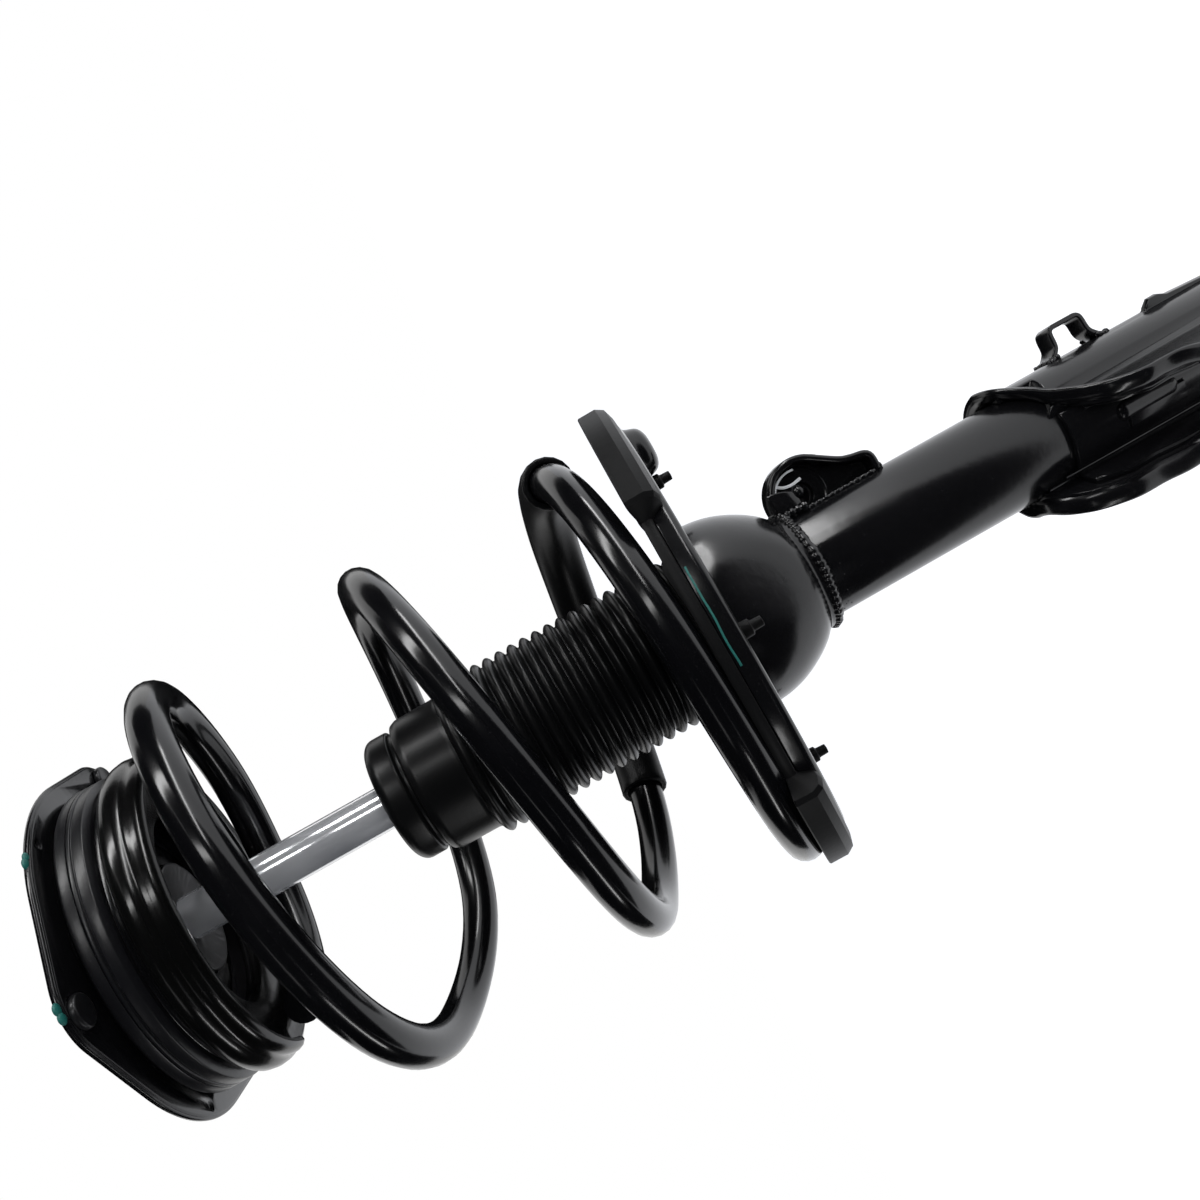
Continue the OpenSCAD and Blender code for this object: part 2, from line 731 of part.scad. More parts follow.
dome_r = 12.5;
dome_drop = 9;
dome_reach = pan_r - dome_r - 2;
module lower_spring_seat() {
  color([0.04, 0.04, 0.045])
    seat_frame()
      difference() {
        union() {
          turned([
            [pan_hole_r, -pan_t], [pan_r - 2, -pan_t], [pan_r, -pan_t + 2], [pan_r, pan_rim_h],
            [pan_r - 2.5, pan_rim_h], [pan_r - 2.5, 1], [pan_r - 3.5, 0], [pan_hole_r, 0]
          ]);
          translate([dome_reach, 0, -pan_t - dome_drop]) cylinder(r1 = dome_r - 5, r2 = dome_r, h = dome_drop);
        }
        translate([dome_reach, 0, -dome_drop]) cylinder(r1 = dome_r - 7, r2 = dome_r - 2, h = dome_drop + cut);
        around(4)
          translate([nipple_reach, 0, -pan_t - dome_drop - cut]) cylinder(r = nipple_r, h = far);
        translate([spring_shift, 0, 0]) rotate([seat_tilt, 0, 0])
          cylinder(r = pan_hole_r, h = 6 * pan_t, center = true);
      }
}

// Height of the rubber under the wire at turn t, above the seat's floor
function ramp_height(t) =
  let (
    c = wire_centre(t),
    local_x = c[0] * cos(seat_turn) + c[1] * sin(seat_turn),
    local_y = -c[0] * sin(seat_turn) + c[1] * cos(seat_turn)
  )
  (c[2] - z_pan + local_y * tan(seat_tilt) - local_x * tan(seat_lean)) * cos(seat_tilt) - wire_r - soft_gap;
ramp_starts = [0.14, 0.2, 0.25];
ramp_end = 0.31;
pad_h = seat_pad * cos(seat_tilt) - 0.5;
wall_h = 12;
low_wall_h = 10;
hook_in_r = end_coil_d / 2 + wire_r + 0.6;
hook_r = hook_in_r + 4;
hook_span = 57;

// A sector of a revolved profile, from angle a0 to a1
module sector(a0, a1, points) {
  rotate([0, 0, a0]) rotate_extrude(angle = a1 - a0) polygon(points);
}

module lower_isolator() {
  pad_in = end_coil_d / 2 - wire_r - 1;
  inside_r = pan_r - 2.5;
  color([0.05, 0.05, 0.05])
    seat_frame() {
      // floor ring, pad and cover over the seat's rim
      turned([
        [rubber_in_r, 0], [inside_r - 1, 0], [inside_r, 1], [inside_r, pan_rim_h],
        [pan_r + 1, pan_rim_h], [pan_r + 1, pad_h], [pad_in, pad_h], [pad_in - 3, 2], [rubber_in_r, 2]
      ]);
      for (side = [0, 180])
        rotate([0, 0, side]) {
          // low wall between the hooks
          sector(hook_span - 1, 180 - hook_span + 1, [
            [pan_r - 0.5, pan_rim_h + 0.7], [pan_r + 1.6, pan_rim_h + 0.7], [pan_r + 1.4, low_wall_h],
            [pan_r - 0.2, low_wall_h]
          ]);
          // hook over the rim
          sector(-hook_span, hook_span, [
            [pan_r - 1, pan_rim_h + 0.4], [pan_r, pan_rim_h + 0.4], [pan_r, -1], [pan_r + 4, -2],
            [hook_r - 2, 2], [hook_r, pan_rim_h], [hook_r, wall_h], [hook_in_r, wall_h],
            [hook_in_r - 1, pad_h - 0.3], [pan_r - 1, pad_h - 0.3]
          ]);
        }
      // stepped ramp that carries the wire as it leaves the pad
      for (i = [0:len(ramp_starts) - 1])
        let (low = ramp_height(ramp_starts[i]) - 0.2)
          sector(180 + 360 * ramp_starts[i], 180 + 360 * ramp_end - i, [
            [pad_in + 3 + i, pad_h - 1 - i * 0.3], [pan_r - 4 - i, pad_h - 1 - i * 0.3],
            [pan_r - 4 - i, low], [pad_in + 3 + i, low]
          ]);
      around(4)
        translate([nipple_reach, 0, 0]) {
          translate([0, 0, -pan_t]) cylinder(r = nipple_r, h = pan_t + 1, $fn = 32);
          translate([0, 0, -pan_t - 4]) cylinder(r1 = nipple_r - 0.5, r2 = nipple_r + 0.8, h = 4, $fn = 32);
          translate([0, 0, -pan_t - nipple_len]) cylinder(r = nipple_r - 1, h = nipple_len, $fn = 32);
        }
    }
}

// Domed support from the tube up to the seat
function bell_profile(grow) = [
  for (a = [0:7.5:90])
    [tube_r + bell_t + (bell_r - tube_r - bell_t) * pow(cos(a), 1.3) + grow,
     z_pan - bell_h * 0.12 - bell_h * 0.88 * sin(a)]
];
facet_angle = seat_turn - 82;
module bell_solid(grow, facet) {
  difference() {
    turned(concat(
      [[0, z_pan + 20], [bell_r + grow, z_pan + 20]],
      bell_profile(grow),
      [[0, z_weld]]
    ));
    translate([0, 0, 0]) facet_cut(facet);
  }
}
// Flat pressed into the bell's side
facet_tilt = 16;
module facet_cut(depth) {
  rotate([0, 0, facet_angle])
    translate([bell_r - depth, 0, z_pan - 8])
      rotate([0, facet_tilt, 0])
        translate([0, -far / 2, -far / 2]) cube([far, far, far]);
}
module seat_bell() {
  color([0.04, 0.04, 0.045])
    difference() {
      bell_solid(0, 4);
      difference() {
        translate([0, 0, bell_t]) bell_solid(-bell_t, 0);
        facet_cut(4 + bell_t);
      }
      translate([0, 0, z_weld - cut]) cylinder(r = tube_r, h = bell_h + far);
      seat_frame() translate([-far / 2, -far / 2, -pan_t]) cube([far, far, far]);
    }
}

// Weld fillet round the foot of the bell
weld_h = 4;
module seat_weld() {
  color([0.08, 0.08, 0.085])
    turned([
      [tube_r, z_weld], [tube_r + bell_t, z_weld], [tube_r + bell_t - 0.3, z_weld - weld_h / 2],
      [tube_r + 1.5, z_weld - weld_h * 0.9], [tube_r, z_weld - weld_h]
    ]);
}

// ---- Brackets on the tube ----

link_reach = tube_r + 6;
z_link = z_weld - 1 - link_cup_r;
link_depth = 13;
link_t = 3;
// Face outline of the bracket, drawn in by the given amount
module link_outline(inset = 0) {
  circle(r = link_cup_r - inset, $fn = 64);
  polygon([
    [-12, 0], [link_cup_r * 0.8 - inset, -link_cup_r * 0.6], [link_cup_r * 0.42 - inset, -link_cup_r - 3],
    [link_cup_r * 0.3 - inset, -link_cup_r - 8], [link_cup_r * 0.22 - inset, -link_cup_r - 15],
    [1 - inset * 0.5, -link_cup_r - 19 + inset], [-12, -link_cup_r - 19 + inset]
  ]);
}
// Pressed cup on the tube's side; its floor carries the stabiliser link
module stabiliser_bracket() {
  color([0.04, 0.04, 0.045])
    rotate([0, 0, seat_turn])
      difference() {
        translate([link_reach, link_depth / 2, z_link])
          rotate([90, 0, 0])
            difference() {
              linear_extrude(link_depth) link_outline();
              translate([0, 0, link_t]) linear_extrude(link_depth) link_outline(link_t);
              translate([0, 0, -cut]) cylinder(d = link_hole_d, h = link_t + 2 * cut);
            }
        translate([0, 0, z_link - far / 2]) cylinder(r = tube_r, h = far);
        translate([0, 0, z_weld - weld_h - 0.2]) cylinder(r = tube_r + bell_t + 0.3, h = weld_h + bell_h);
      }
}

// Closed nut welded behind the bracket's floor
module link_nut() {
  nut_face = link_hole_d + 4;
  color([0.2, 0.2, 0.21])
    rotate([0, 0, seat_turn])
      difference() {
        translate([link_reach, link_depth / 2, z_link])
          rotate([-90, 0, 0])
            difference() {
              union() {
                cylinder(d = nut_face / cos(30), h = 9, $fn = 6);
                translate([0, 0, 9]) cylinder(r1 = nut_face / 2 - 0.5, r2 = nut_face / 2 - 3, h = 4, $fn = 48);
              }
              translate([0, 0, -cut]) cylinder(d = link_hole_d - 2, h = 11 + cut, $fn = 48);
            }
        translate([0, 0, z_link - far / 2]) cylinder(r = tube_r + 0.2, h = far);
      }
}

hose_w = 13;
hose_top = 19;
hose_len = 20;
hose_t = 2.5;
z_hose = z_clevis_top - 52;
// Folded strip on the clevis that holds the brake hose
module hose_bracket() {
  color([0.04, 0.04, 0.045])
    rotate([0, 0, seat_turn])
      translate([0, 3.5, z_hose])
        difference() {
          translate([tube_r - 1, -hose_w / 2, -hose_len / 2]) cube([hose_top + 1, hose_w, hose_len]);
          translate([0, -hose_w / 2 - cut, -hose_len / 2 + hose_t])
            cube([tube_r + hose_top - hose_t, hose_w + 2 * cut, hose_len - 2 * hose_t]);
          translate([tube_r + hose_top - 10, 0, 0]) rotate([0, 90, 0]) cylinder(d = hose_hole_d, h = 20);
          translate([0, -3.5, -hose_len]) cylinder(r = wrap_r, h = 2 * hose_len);
        }
}

// Side outline of an ear as [reach toward the mouth, height]. The +X ear
// starts a little lower than the -X ear, and they meet above the bolts.
function ear_outline(drop) = [
  [-2, z_clevis_top - drop], [9, z_clevis_top + 2 - drop], [16, z_clevis_top + 3 - drop],
  [22, z_clevis_top + 2 - drop], [28, z_clevis_top - 0.5 - drop], [33, z_clevis_top - 4 - drop],
  [38, z_clevis_top - 9 - drop * 0.95], [42, z_clevis_top - 16 - drop * 0.9],
  [46, z_clevis_top - 26 - drop * 0.85], [ear_waist, z_clevis_top - 39 - drop * 0.7],
  [ear_waist + 2, z_clevis_top - 53 - drop * 0.5], [ear_waist + 4, z_bolt_top + 16],
  [ear_edge - 3, z_bolt_top + 8], [ear_edge, z_bolt_top], [ear_edge, z_bolt_low],
  [ear_edge - 2, z_clevis_low + 8], [ear_edge - 7, z_clevis_low + 2], [ear_edge - 13, z_clevis_low],
  [-2, z_clevis_low]
];
ear_drop = 22;
flange_inset = 4;
// An ear outline as a slab from x0 to x1; inset draws its edge back
module ear_slab(x0, x1, inset = 0, drop = ear_drop) {
  translate([x0, 0, 0])
    rotate([90, 0, 90])
      linear_extrude(x1 - x0)
        polygon([for (p = ear_outline(drop)) [-(p[0] - inset), p[1] + (p[1] < z_bolt_low ? 0 : -inset * 0.6)]]);
}
module bolt_holes() {
  for (z = [z_bolt_low, z_bolt_top])
    translate([-far / 2, -bolt_reach, z]) rotate([0, 90, 0]) cylinder(d = bolt_hole_d, h = far);
}
// Reach at which a flat ear at half width x meets a circle of radius r
function meet(x, r) = sqrt(r * r - x * x);

lip_back = 4;
lip_out = 9;
lip_span = 46;
lip_rise = 8;
module knuckle_bracket_outer() {
  z0 = z_clevis_low;
  h = clevis_h;
  root = meet(ear_out, wrap_r);
  color([0.04, 0.04, 0.045])
    difference() {
      union() {
        // stiffening lip that stands out of the wrap beside the bolts
        translate([0, lip_back + outer_t, (z_bolt_top + z_bolt_low) / 2 + lip_rise])
          rotate([90, 0, 0])
            linear_extrude(outer_t)
              polygon([
                [tube_r + 1, lip_span / 2 + 4], [wrap_r + 1, lip_span / 2 + 3], [wrap_r + 5, lip_span / 2],
                [wrap_r + lip_out - 1.5, lip_span / 2 - 5], [wrap_r + lip_out, lip_span / 2 - 10],
                [wrap_r + lip_out, 8 - lip_span / 2], [wrap_r + lip_out - 2, 3 - lip_span / 2],
                [wrap_r + 2, -lip_span / 2], [tube_r + 1, -lip_span / 2]
              ]);
        // wrap round the back of the tube, with a flared collar on top
        difference() {
          union() {
            translate([0, 0, z0]) cylinder(r = wrap_r, h = h);
            translate([0, 0, z_clevis_top - 5]) cylinder(r1 = wrap_r, r2 = wrap_r + 3.5, h = 5);
          }
          translate([-2 * far, -far - root, z0 - cut]) cube([4 * far, far, h + 2 * cut]);
          // the collar slopes down toward the lower ear
          translate([2, -root - cut, z_clevis_top])
            rotate([0, 35, 0]) translate([0, -far + root, 0]) cube([far, far, far]);
        }
        for (side = [0, 1])
          mirror([1 - side, 0, 0]) {
            drop = side * ear_drop;
            difference() {
              ear_slab(ear_in, ear_out, 0, drop);
              translate([0, -root + 3, z0 - cut]) cube([far, far, h + 2 * cut]);
            }
            // lip turned out along the ear's free edge
            difference() {
              ear_slab(ear_out - 0.5, ear_out + lip_w, 0, drop);
              ear_slab(ear_in, ear_out + lip_w + cut, lip_t, drop);
              translate([0, 4 - root, z0 - cut]) cube([far, far, h + 2 * cut]);
              translate([0, -far, z_bolt_top + 12 - far]) cube([far, 2 * far, far]);
            }
          }
      }
      translate([0, 0, z0 - cut]) cylinder(r = tube_r, h = h + far);
      bolt_holes();
    }
}

// Closing plate between the tube and the knuckle, with flanges inside the ears
module knuckle_bracket_inner() {
  z1 = z_clevis_top - 14;
  z0 = z_clevis_low;
  web_r = tube_r + inner_t;
  half = clevis_gap / 2;
  root = meet(ear_out, wrap_r);
  color([0.04, 0.04, 0.045])
    difference() {
      union() {
        intersection() {
          translate([0, 0, z0]) cylinder(r = web_r, h = z1 - z0);
          translate([-ear_in, -far - root, z0]) cube([2 * ear_in, far, z1 - z0]);
        }
        for (side = [0, 1])
          mirror([1 - side, 0, 0])
            difference() {
              ear_slab(half, ear_in, flange_inset, side * ear_drop);
              translate([0, -root, z0 - cut]) cube([far, far, clevis_h + 2 * cut]);
              translate([0, -far, z1]) cube([far, 2 * far, far]);
            }
        // stiffening bead down the middle of the web
        intersection() {
          translate([-4.5, -web_r - 1.6, z0 + 92]) cube([9, 6, 31]);
          translate([0, 0, z0]) cylinder(r = web_r + 1.6, h = z1 - z0);
        }
      }
      translate([0, 0, z0 - cut]) cylinder(r = tube_r, h = z1 - z0 + 2 * cut);
      bolt_holes();
    }
}

mount_plate();
mount_nuts();
bush_cup();
bush_rubber();
bush_sleeve();
rod_washer_lower();
rod_washer_upper();
rod_nut();
bearing_upper_race();
bearing_balls();
bearing_cage();
bearing_lower_race();
upper_spring_seat();
upper_isolator();
coil_spring();
spring_sleeve();
piston_rod();
piston();
piston_ring();
piston_nut();
rebound_stop();
rebound_collar();
bump_stop();
dust_boot();
bump_cap();
rod_seal();
rod_guide();
guide_bush();
strut_tube();
inner_cylinder();
base_valve();
base_cap();
lower_spring_seat();
seat_bell();
seat_weld();
lower_isolator();
stabiliser_bracket();
link_nut();
hose_bracket();
knuckle_bracket_outer();
knuckle_bracket_inner();
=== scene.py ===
# %% [markdown]
# # A front suspension strut
#
# The strut carries a car's front corner. A tall coil spring stands between a tilted lower pan and
# a round top mount, a damper tube runs through it, and a folded steel clevis holds the knuckle.
# Nearly all of it is black: gloss paint on pressed steel, matt rubber, a satin moulded boot, and
# one bright chrome rod. On such an object the shape is read from highlights, so rounded edges,
# weld beads and the right gloss matter more than colour.

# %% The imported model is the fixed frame
import bpy, json, math, random
from mathutils import Matrix, Vector, noise


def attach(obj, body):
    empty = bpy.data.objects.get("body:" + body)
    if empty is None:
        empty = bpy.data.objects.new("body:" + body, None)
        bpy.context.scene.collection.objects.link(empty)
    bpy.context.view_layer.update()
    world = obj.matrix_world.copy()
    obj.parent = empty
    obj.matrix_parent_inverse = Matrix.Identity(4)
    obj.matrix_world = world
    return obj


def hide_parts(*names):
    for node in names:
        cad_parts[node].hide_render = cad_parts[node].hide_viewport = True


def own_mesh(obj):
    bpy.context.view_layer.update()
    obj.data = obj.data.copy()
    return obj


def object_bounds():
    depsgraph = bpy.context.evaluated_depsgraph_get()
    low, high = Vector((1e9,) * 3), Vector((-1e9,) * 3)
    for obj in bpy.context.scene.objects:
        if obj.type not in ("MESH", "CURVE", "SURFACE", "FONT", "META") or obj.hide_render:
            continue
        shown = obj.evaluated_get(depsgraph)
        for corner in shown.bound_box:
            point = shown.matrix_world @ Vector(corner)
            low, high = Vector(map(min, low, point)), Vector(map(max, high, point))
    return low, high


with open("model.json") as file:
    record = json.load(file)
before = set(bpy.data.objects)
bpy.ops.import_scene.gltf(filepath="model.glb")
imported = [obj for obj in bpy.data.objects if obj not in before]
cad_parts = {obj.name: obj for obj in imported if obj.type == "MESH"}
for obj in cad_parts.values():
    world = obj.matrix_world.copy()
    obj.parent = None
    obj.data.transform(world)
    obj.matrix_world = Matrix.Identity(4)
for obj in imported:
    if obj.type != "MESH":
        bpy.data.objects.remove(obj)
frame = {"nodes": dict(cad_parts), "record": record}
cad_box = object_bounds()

scene = bpy.context.scene
nodes = frame["nodes"]
MM = 0.001
SEAT_TURN = 22                      # the seat and the upper parts are turned this far round Z
print("nodes", len(nodes), "box", [tuple(round(v, 4) for v in c) for c in cad_box])

# %% [markdown]
# ## Camera
#
# The view is level with the boot and looks slightly along the strut, with the camera rolled so
# the strut runs up to the right. Its place and directions are plain numbers, and a matrix made
# from them is more exact than a constraint that aims it.

# %% Camera
def turned(x, y, z, angle=SEAT_TURN):
    return Matrix.Rotation(math.radians(angle), 4, "Z") @ Vector((x, y, z))

view_dir = turned(0, 0.9964, -0.085).normalized()
view_up = turned(0.8735, -0.0414, -0.485)
view_right = view_dir.cross(view_up).normalized()
view_up = view_right.cross(view_dir)
camera_place = turned(34.5, -493, -207.6) * MM
bpy.ops.object.camera_add()
camera = bpy.context.object
camera.name = "camera"
camera.data.sensor_width = 36
camera.data.lens = 32.4
camera.data.clip_start = 0.01
directions = Matrix((view_right, view_up, -view_dir)).transposed()
camera.matrix_world = Matrix.Translation(camera_place) @ directions.to_4x4()
scene.camera = camera
scene.view_settings.view_transform = "Standard"
print("camera", [round(v, 4) for v in camera_place], "lens", camera.data.lens)

# %% [markdown]
# ## Shader nodes
#
# A material is a small net of nodes. In the shader editor each one is added, set and wired by
# hand. One helper that does these three things keeps every material below to a few lines.

# %% Helpers for shader nodes
def node(tree, kind, links=(), **settings):
    """Adds a node, sets its values and wires each (source, socket) to it."""
    made = tree.nodes.new(kind)
    for key, value in settings.items():
        if key in made.inputs:
            made.inputs[key].default_value = value
        else:
            setattr(made, key, value)
    for source, socket in links:
        tree.links.new(source, made.inputs[socket])
    return made

def new_material(name):
    material = bpy.data.materials.new(name)
    material.use_nodes = True
    tree = material.node_tree
    tree.nodes.clear()
    return material, tree, tree.nodes.new("ShaderNodeOutputMaterial")

def seen_directly(tree):
    """1 where the camera sees the surface itself, in a mirror or through glass."""
    path = node(tree, "ShaderNodeLightPath")
    seen = path.outputs["Is Camera Ray"]
    for ray in ("Is Glossy Ray", "Is Transmission Ray"):
        seen = node(tree, "ShaderNodeMath", [(seen, 0), (path.outputs[ray], 1)], operation="MAXIMUM").outputs[0]
    return seen

# %% [markdown]
# ## Floor, world and lamps
#
# The strut stands on a pale floor under soft light. The world and the floor look white to the
# camera and in mirrors, and give little light of their own, so that black paint stays black.
# Long soft boxes are best for round black parts, because each one draws a clean bright line
# along a tube. They are placed from the camera's own directions. A dark sheet behind the camera
# is what a photographer hangs there, so that gloss black has something dark to mirror.

# %% Floor and world
world = bpy.data.worlds.new("studio")
scene.world = world
world.use_nodes = True
tree = world.node_tree
tree.nodes.clear()
plain = node(tree, "ShaderNodeBackground", Color=(0.8, 0.86, 1.0, 1), Strength=0.35)
white = node(tree, "ShaderNodeBackground", Color=(1, 1, 1, 1), Strength=1.0)
mix = node(tree, "ShaderNodeMixShader", [(seen_directly(tree), 0), (plain.outputs[0], 1), (white.outputs[0], 2)])
node(tree, "ShaderNodeOutputWorld", [(mix.outputs[0], 0)])

bpy.ops.mesh.primitive_plane_add(size=12, location=(0, 0, cad_box[0].z - 0.002))
floor = bpy.context.object
floor.name = "floor"
material, tree, output = new_material("pale floor")
matt = node(tree, "ShaderNodeBsdfDiffuse", Color=(0.8, 0.8, 0.8, 1))
glow = node(tree, "ShaderNodeEmission", Strength=0.8)
both = node(tree, "ShaderNodeAddShader", [(matt.outputs[0], 0), (glow.outputs[0], 1)])
mix = node(tree, "ShaderNodeMixShader", [(seen_directly(tree), 0), (matt.outputs[0], 1), (both.outputs[0], 2)])
tree.links.new(mix.outputs[0], output.inputs[0])
floor.data.materials.append(material)
print("floor at", round(cad_box[0].z - 0.002, 4))

# %% Lamps
aim_point = turned(0, 0, -300) * MM

def soft_box(name, right, up, near, width, height, watts):
    """A lamp placed by its way right, up and nearer from the aim point, in the camera's directions."""
    place = aim_point + view_right * right + view_up * up - view_dir * near
    bpy.ops.object.light_add(type="AREA", location=place)
    lamp = bpy.context.object
    lamp.name = name
    lamp.data.shape = "RECTANGLE"
    lamp.data.size, lamp.data.size_y = width, height
    lamp.data.energy = watts
    lamp.rotation_mode = "QUATERNION"
    lamp.rotation_quaternion = (aim_point - place).to_track_quat("-Z", "Y")
    return lamp

soft_box("top box", -0.25, 1.25, 0.45, 1.5, 0.26, 20)
soft_box("side box", -1.25, 0.75, 0.55, 0.22, 1.0, 9)
soft_box("front box", -0.75, 0.35, 1.25, 0.16, 0.7, 3)
soft_box("low box", 0.5, -1.2, 0.5, 1.0, 0.10, 2.5)
soft_box("back box", 0.2, 0.9, -1.2, 1.3, 0.3, 7)
fill = soft_box("fill box", 0.3, 0.3, 1.3, 0.8, 0.8, 9)
fill.visible_glossy = False         # it lights marks and rubber, and draws no reflection in the gloss

# %% Dark sheets
dark_cloth, tree, output = new_material("dark cloth")
cloth = node(tree, "ShaderNodeBsdfDiffuse", Color=(0.01, 0.01, 0.01, 1))
tree.links.new(cloth.outputs[0], output.inputs[0])

def dark_sheet(name, x, y, z, width, height, toward):
    """A sheet in the seat's turned directions, facing the given one. Only mirrors show it."""
    bpy.ops.mesh.primitive_plane_add(size=1, location=turned(x, y, z))
    sheet = bpy.context.object
    sheet.name = name
    sheet.scale = (width, height, 1)
    sheet.rotation_mode = "QUATERNION"
    sheet.rotation_quaternion = turned(*toward).to_track_quat("Z", "Y")
    sheet.visible_camera = sheet.visible_diffuse = sheet.visible_shadow = False
    sheet.data.materials.append(dark_cloth)

dark_sheet("front sheet", 0, -1.9, 0.4, 5.0, 2.1, (0, 1, 0))
dark_sheet("left sheet", -1.9, -0.3, 0.4, 3.2, 2.1, (1, 0, 0))
dark_sheet("right sheet", 1.9, -0.3, 0.4, 3.2, 2.1, (-1, 0, 0))
dark_sheet("roof sheet", 0, -0.4, 1.5, 4.0, 3.2, (0, 0, -1))
dark_sheet("back sheet", 0.25, 1.7, -0.2, 1.6, 2.6, (0, -1, 0))
dark_sheet("ground sheet", 0, -1.2, cad_box[0].z + 0.004, 4.0, 1.7, (0, 0, 1))

# %% [markdown]
# ## Finishes
#
# Three effects are shared by several finishes, so each is a node group: a fine uneven surface
# that bends the highlights as sprayed paint does, dust and rub marks that lift the colour a
# little, and bright wear where an edge sticks out. Each finish places the groups with its own
# numbers, and keeps its constants on the shader itself.

# %% Helpers for the groups
FLOAT, COLOR, VECTOR = "NodeSocketFloat", "NodeSocketColor", "NodeSocketVector"

def group(name, inputs, outputs):
    made = bpy.data.node_groups.new(name, "ShaderNodeTree")
    for title, kind, value in inputs:
        made.interface.new_socket(title, in_out="INPUT", socket_type=kind).default_value = value
    for title, kind in outputs:
        made.interface.new_socket(title, in_out="OUTPUT", socket_type=kind)
    return made, made.nodes.new("NodeGroupInput"), made.nodes.new("NodeGroupOutput")

def noise_of(tree, links=(), **settings):
    """Noise that stays with the object."""
    place = node(tree, "ShaderNodeTexCoord")
    return node(tree, "ShaderNodeTexNoise", [(place.outputs["Object"], "Vector"), *links], **settings).outputs["Fac"]

def ramp(tree, source, low, high, top=1.0):
    limits = {"From Min": low, "From Max": high, "To Max": top}
    return node(tree, "ShaderNodeMapRange", [(source, "Value")], **limits).outputs[0]

def maths(tree, operation, *sources, **settings):
    links = [(source, i) for i, source in enumerate(sources)]
    return node(tree, "ShaderNodeMath", links, operation=operation, **settings).outputs[0]

def blended(tree, share, first, second):
    links = [(share, "Factor"), (first, "A"), (second, "B")]
    return node(tree, "ShaderNodeMix", links, data_type="RGBA").outputs["Result"]

# %% Uneven surface
uneven, start, end = group("uneven surface", [("Scale", FLOAT, 300.0), ("Height", FLOAT, 0.1)], [("Normal", VECTOR)])
grain = noise_of(uneven, [(start.outputs["Scale"], "Scale")], Detail=3.0)
bump = node(uneven, "ShaderNodeBump", [(grain, "Height"), (start.outputs["Height"], "Strength")], Distance=0.0004)
uneven.links.new(bump.outputs[0], end.inputs["Normal"])
print("group", uneven.name)

# %% Dust and rub marks
dusty, start, end = group("dust and rub", [
    ("Base", COLOR, (0, 0, 0, 1)), ("Dust", COLOR, (0.3, 0.3, 0.3, 1)), ("Amount", FLOAT, 0.3),
    ("Roughness", FLOAT, 0.3), ("Spread", FLOAT, 0.15)], [("Color", COLOR), ("Roughness", FLOAT)])
specks = ramp(dusty, noise_of(dusty, Scale=1400.0, Detail=1.0), 0.72, 0.8)
clouds = ramp(dusty, noise_of(dusty, Scale=22.0, Detail=5.0), 0.4, 0.9, 0.12)
rubs = ramp(dusty, noise_of(dusty, Scale=14.0, Detail=6.0, Roughness=0.6, Distortion=0.6), 0.3, 0.8)
dust = maths(dusty, "ADD", specks, clouds)
share = maths(dusty, "MULTIPLY", dust, start.outputs["Amount"], use_clamp=True)
rough = maths(dusty, "MULTIPLY_ADD", rubs, start.outputs["Spread"], start.outputs["Roughness"])
dusty.links.new(blended(dusty, share, start.outputs["Base"], start.outputs["Dust"]), end.inputs["Color"])
dusty.links.new(rough, end.inputs["Roughness"])
print("group", dusty.name)

# %% Edge wear
worn, start, end = group("edge wear", [
    ("Color", COLOR, (0, 0, 0, 1)), ("Wear", COLOR, (0.2, 0.2, 0.2, 1)), ("Amount", FLOAT, 0.5)], [("Color", COLOR)])
shape = node(worn, "ShaderNodeNewGeometry")
edge = ramp(worn, shape.outputs["Pointiness"], 0.57, 0.70)
chips = ramp(worn, noise_of(worn, Scale=160.0, Detail=4.0), 0.45, 0.6)
share = maths(worn, "MULTIPLY", maths(worn, "MULTIPLY", edge, chips), start.outputs["Amount"], use_clamp=True)
worn.links.new(blended(worn, share, start.outputs["Color"], start.outputs["Wear"]), end.inputs["Color"])
print("group", worn.name)

# %% [markdown]
# The finishes stand in one table, so that two of them can be compared line by line. Paint, a
# moulded part and bare metal differ mostly in how rough they are and in how strongly they
# mirror. Each row is built into one material by the same function.

# %% Finishes
def finish_of(name, base, dust, dust_amount, roughness, spread, wear, wear_amount, grain, height, shader):
    material, tree, output = new_material(name)
    marks = node(tree, "ShaderNodeGroup", node_tree=dusty, Base=(*base, 1), Dust=(*dust, 1), Amount=dust_amount,
                 Roughness=roughness, Spread=spread)
    edges = node(tree, "ShaderNodeGroup", [(marks.outputs["Color"], "Color")], node_tree=worn, Wear=(*wear, 1),
                 Amount=wear_amount)
    relief = node(tree, "ShaderNodeGroup", node_tree=uneven, Scale=grain, Height=height)
    surface = node(tree, "ShaderNodeBsdfPrincipled", [
        (edges.outputs["Color"], "Base Color"), (marks.outputs["Roughness"], "Roughness"),
        (relief.outputs["Normal"], "Normal")], **shader)
    tree.links.new(surface.outputs[0], output.inputs[0])
    return material

def gloss(level):
    return {"Specular IOR Level": level}

def metal(share):
    return {"Metallic": share}

GREY, DARK, WORN_PAINT = (0.2, 0.2, 0.2), (0.05, 0.05, 0.05), (0.03, 0.03, 0.03)
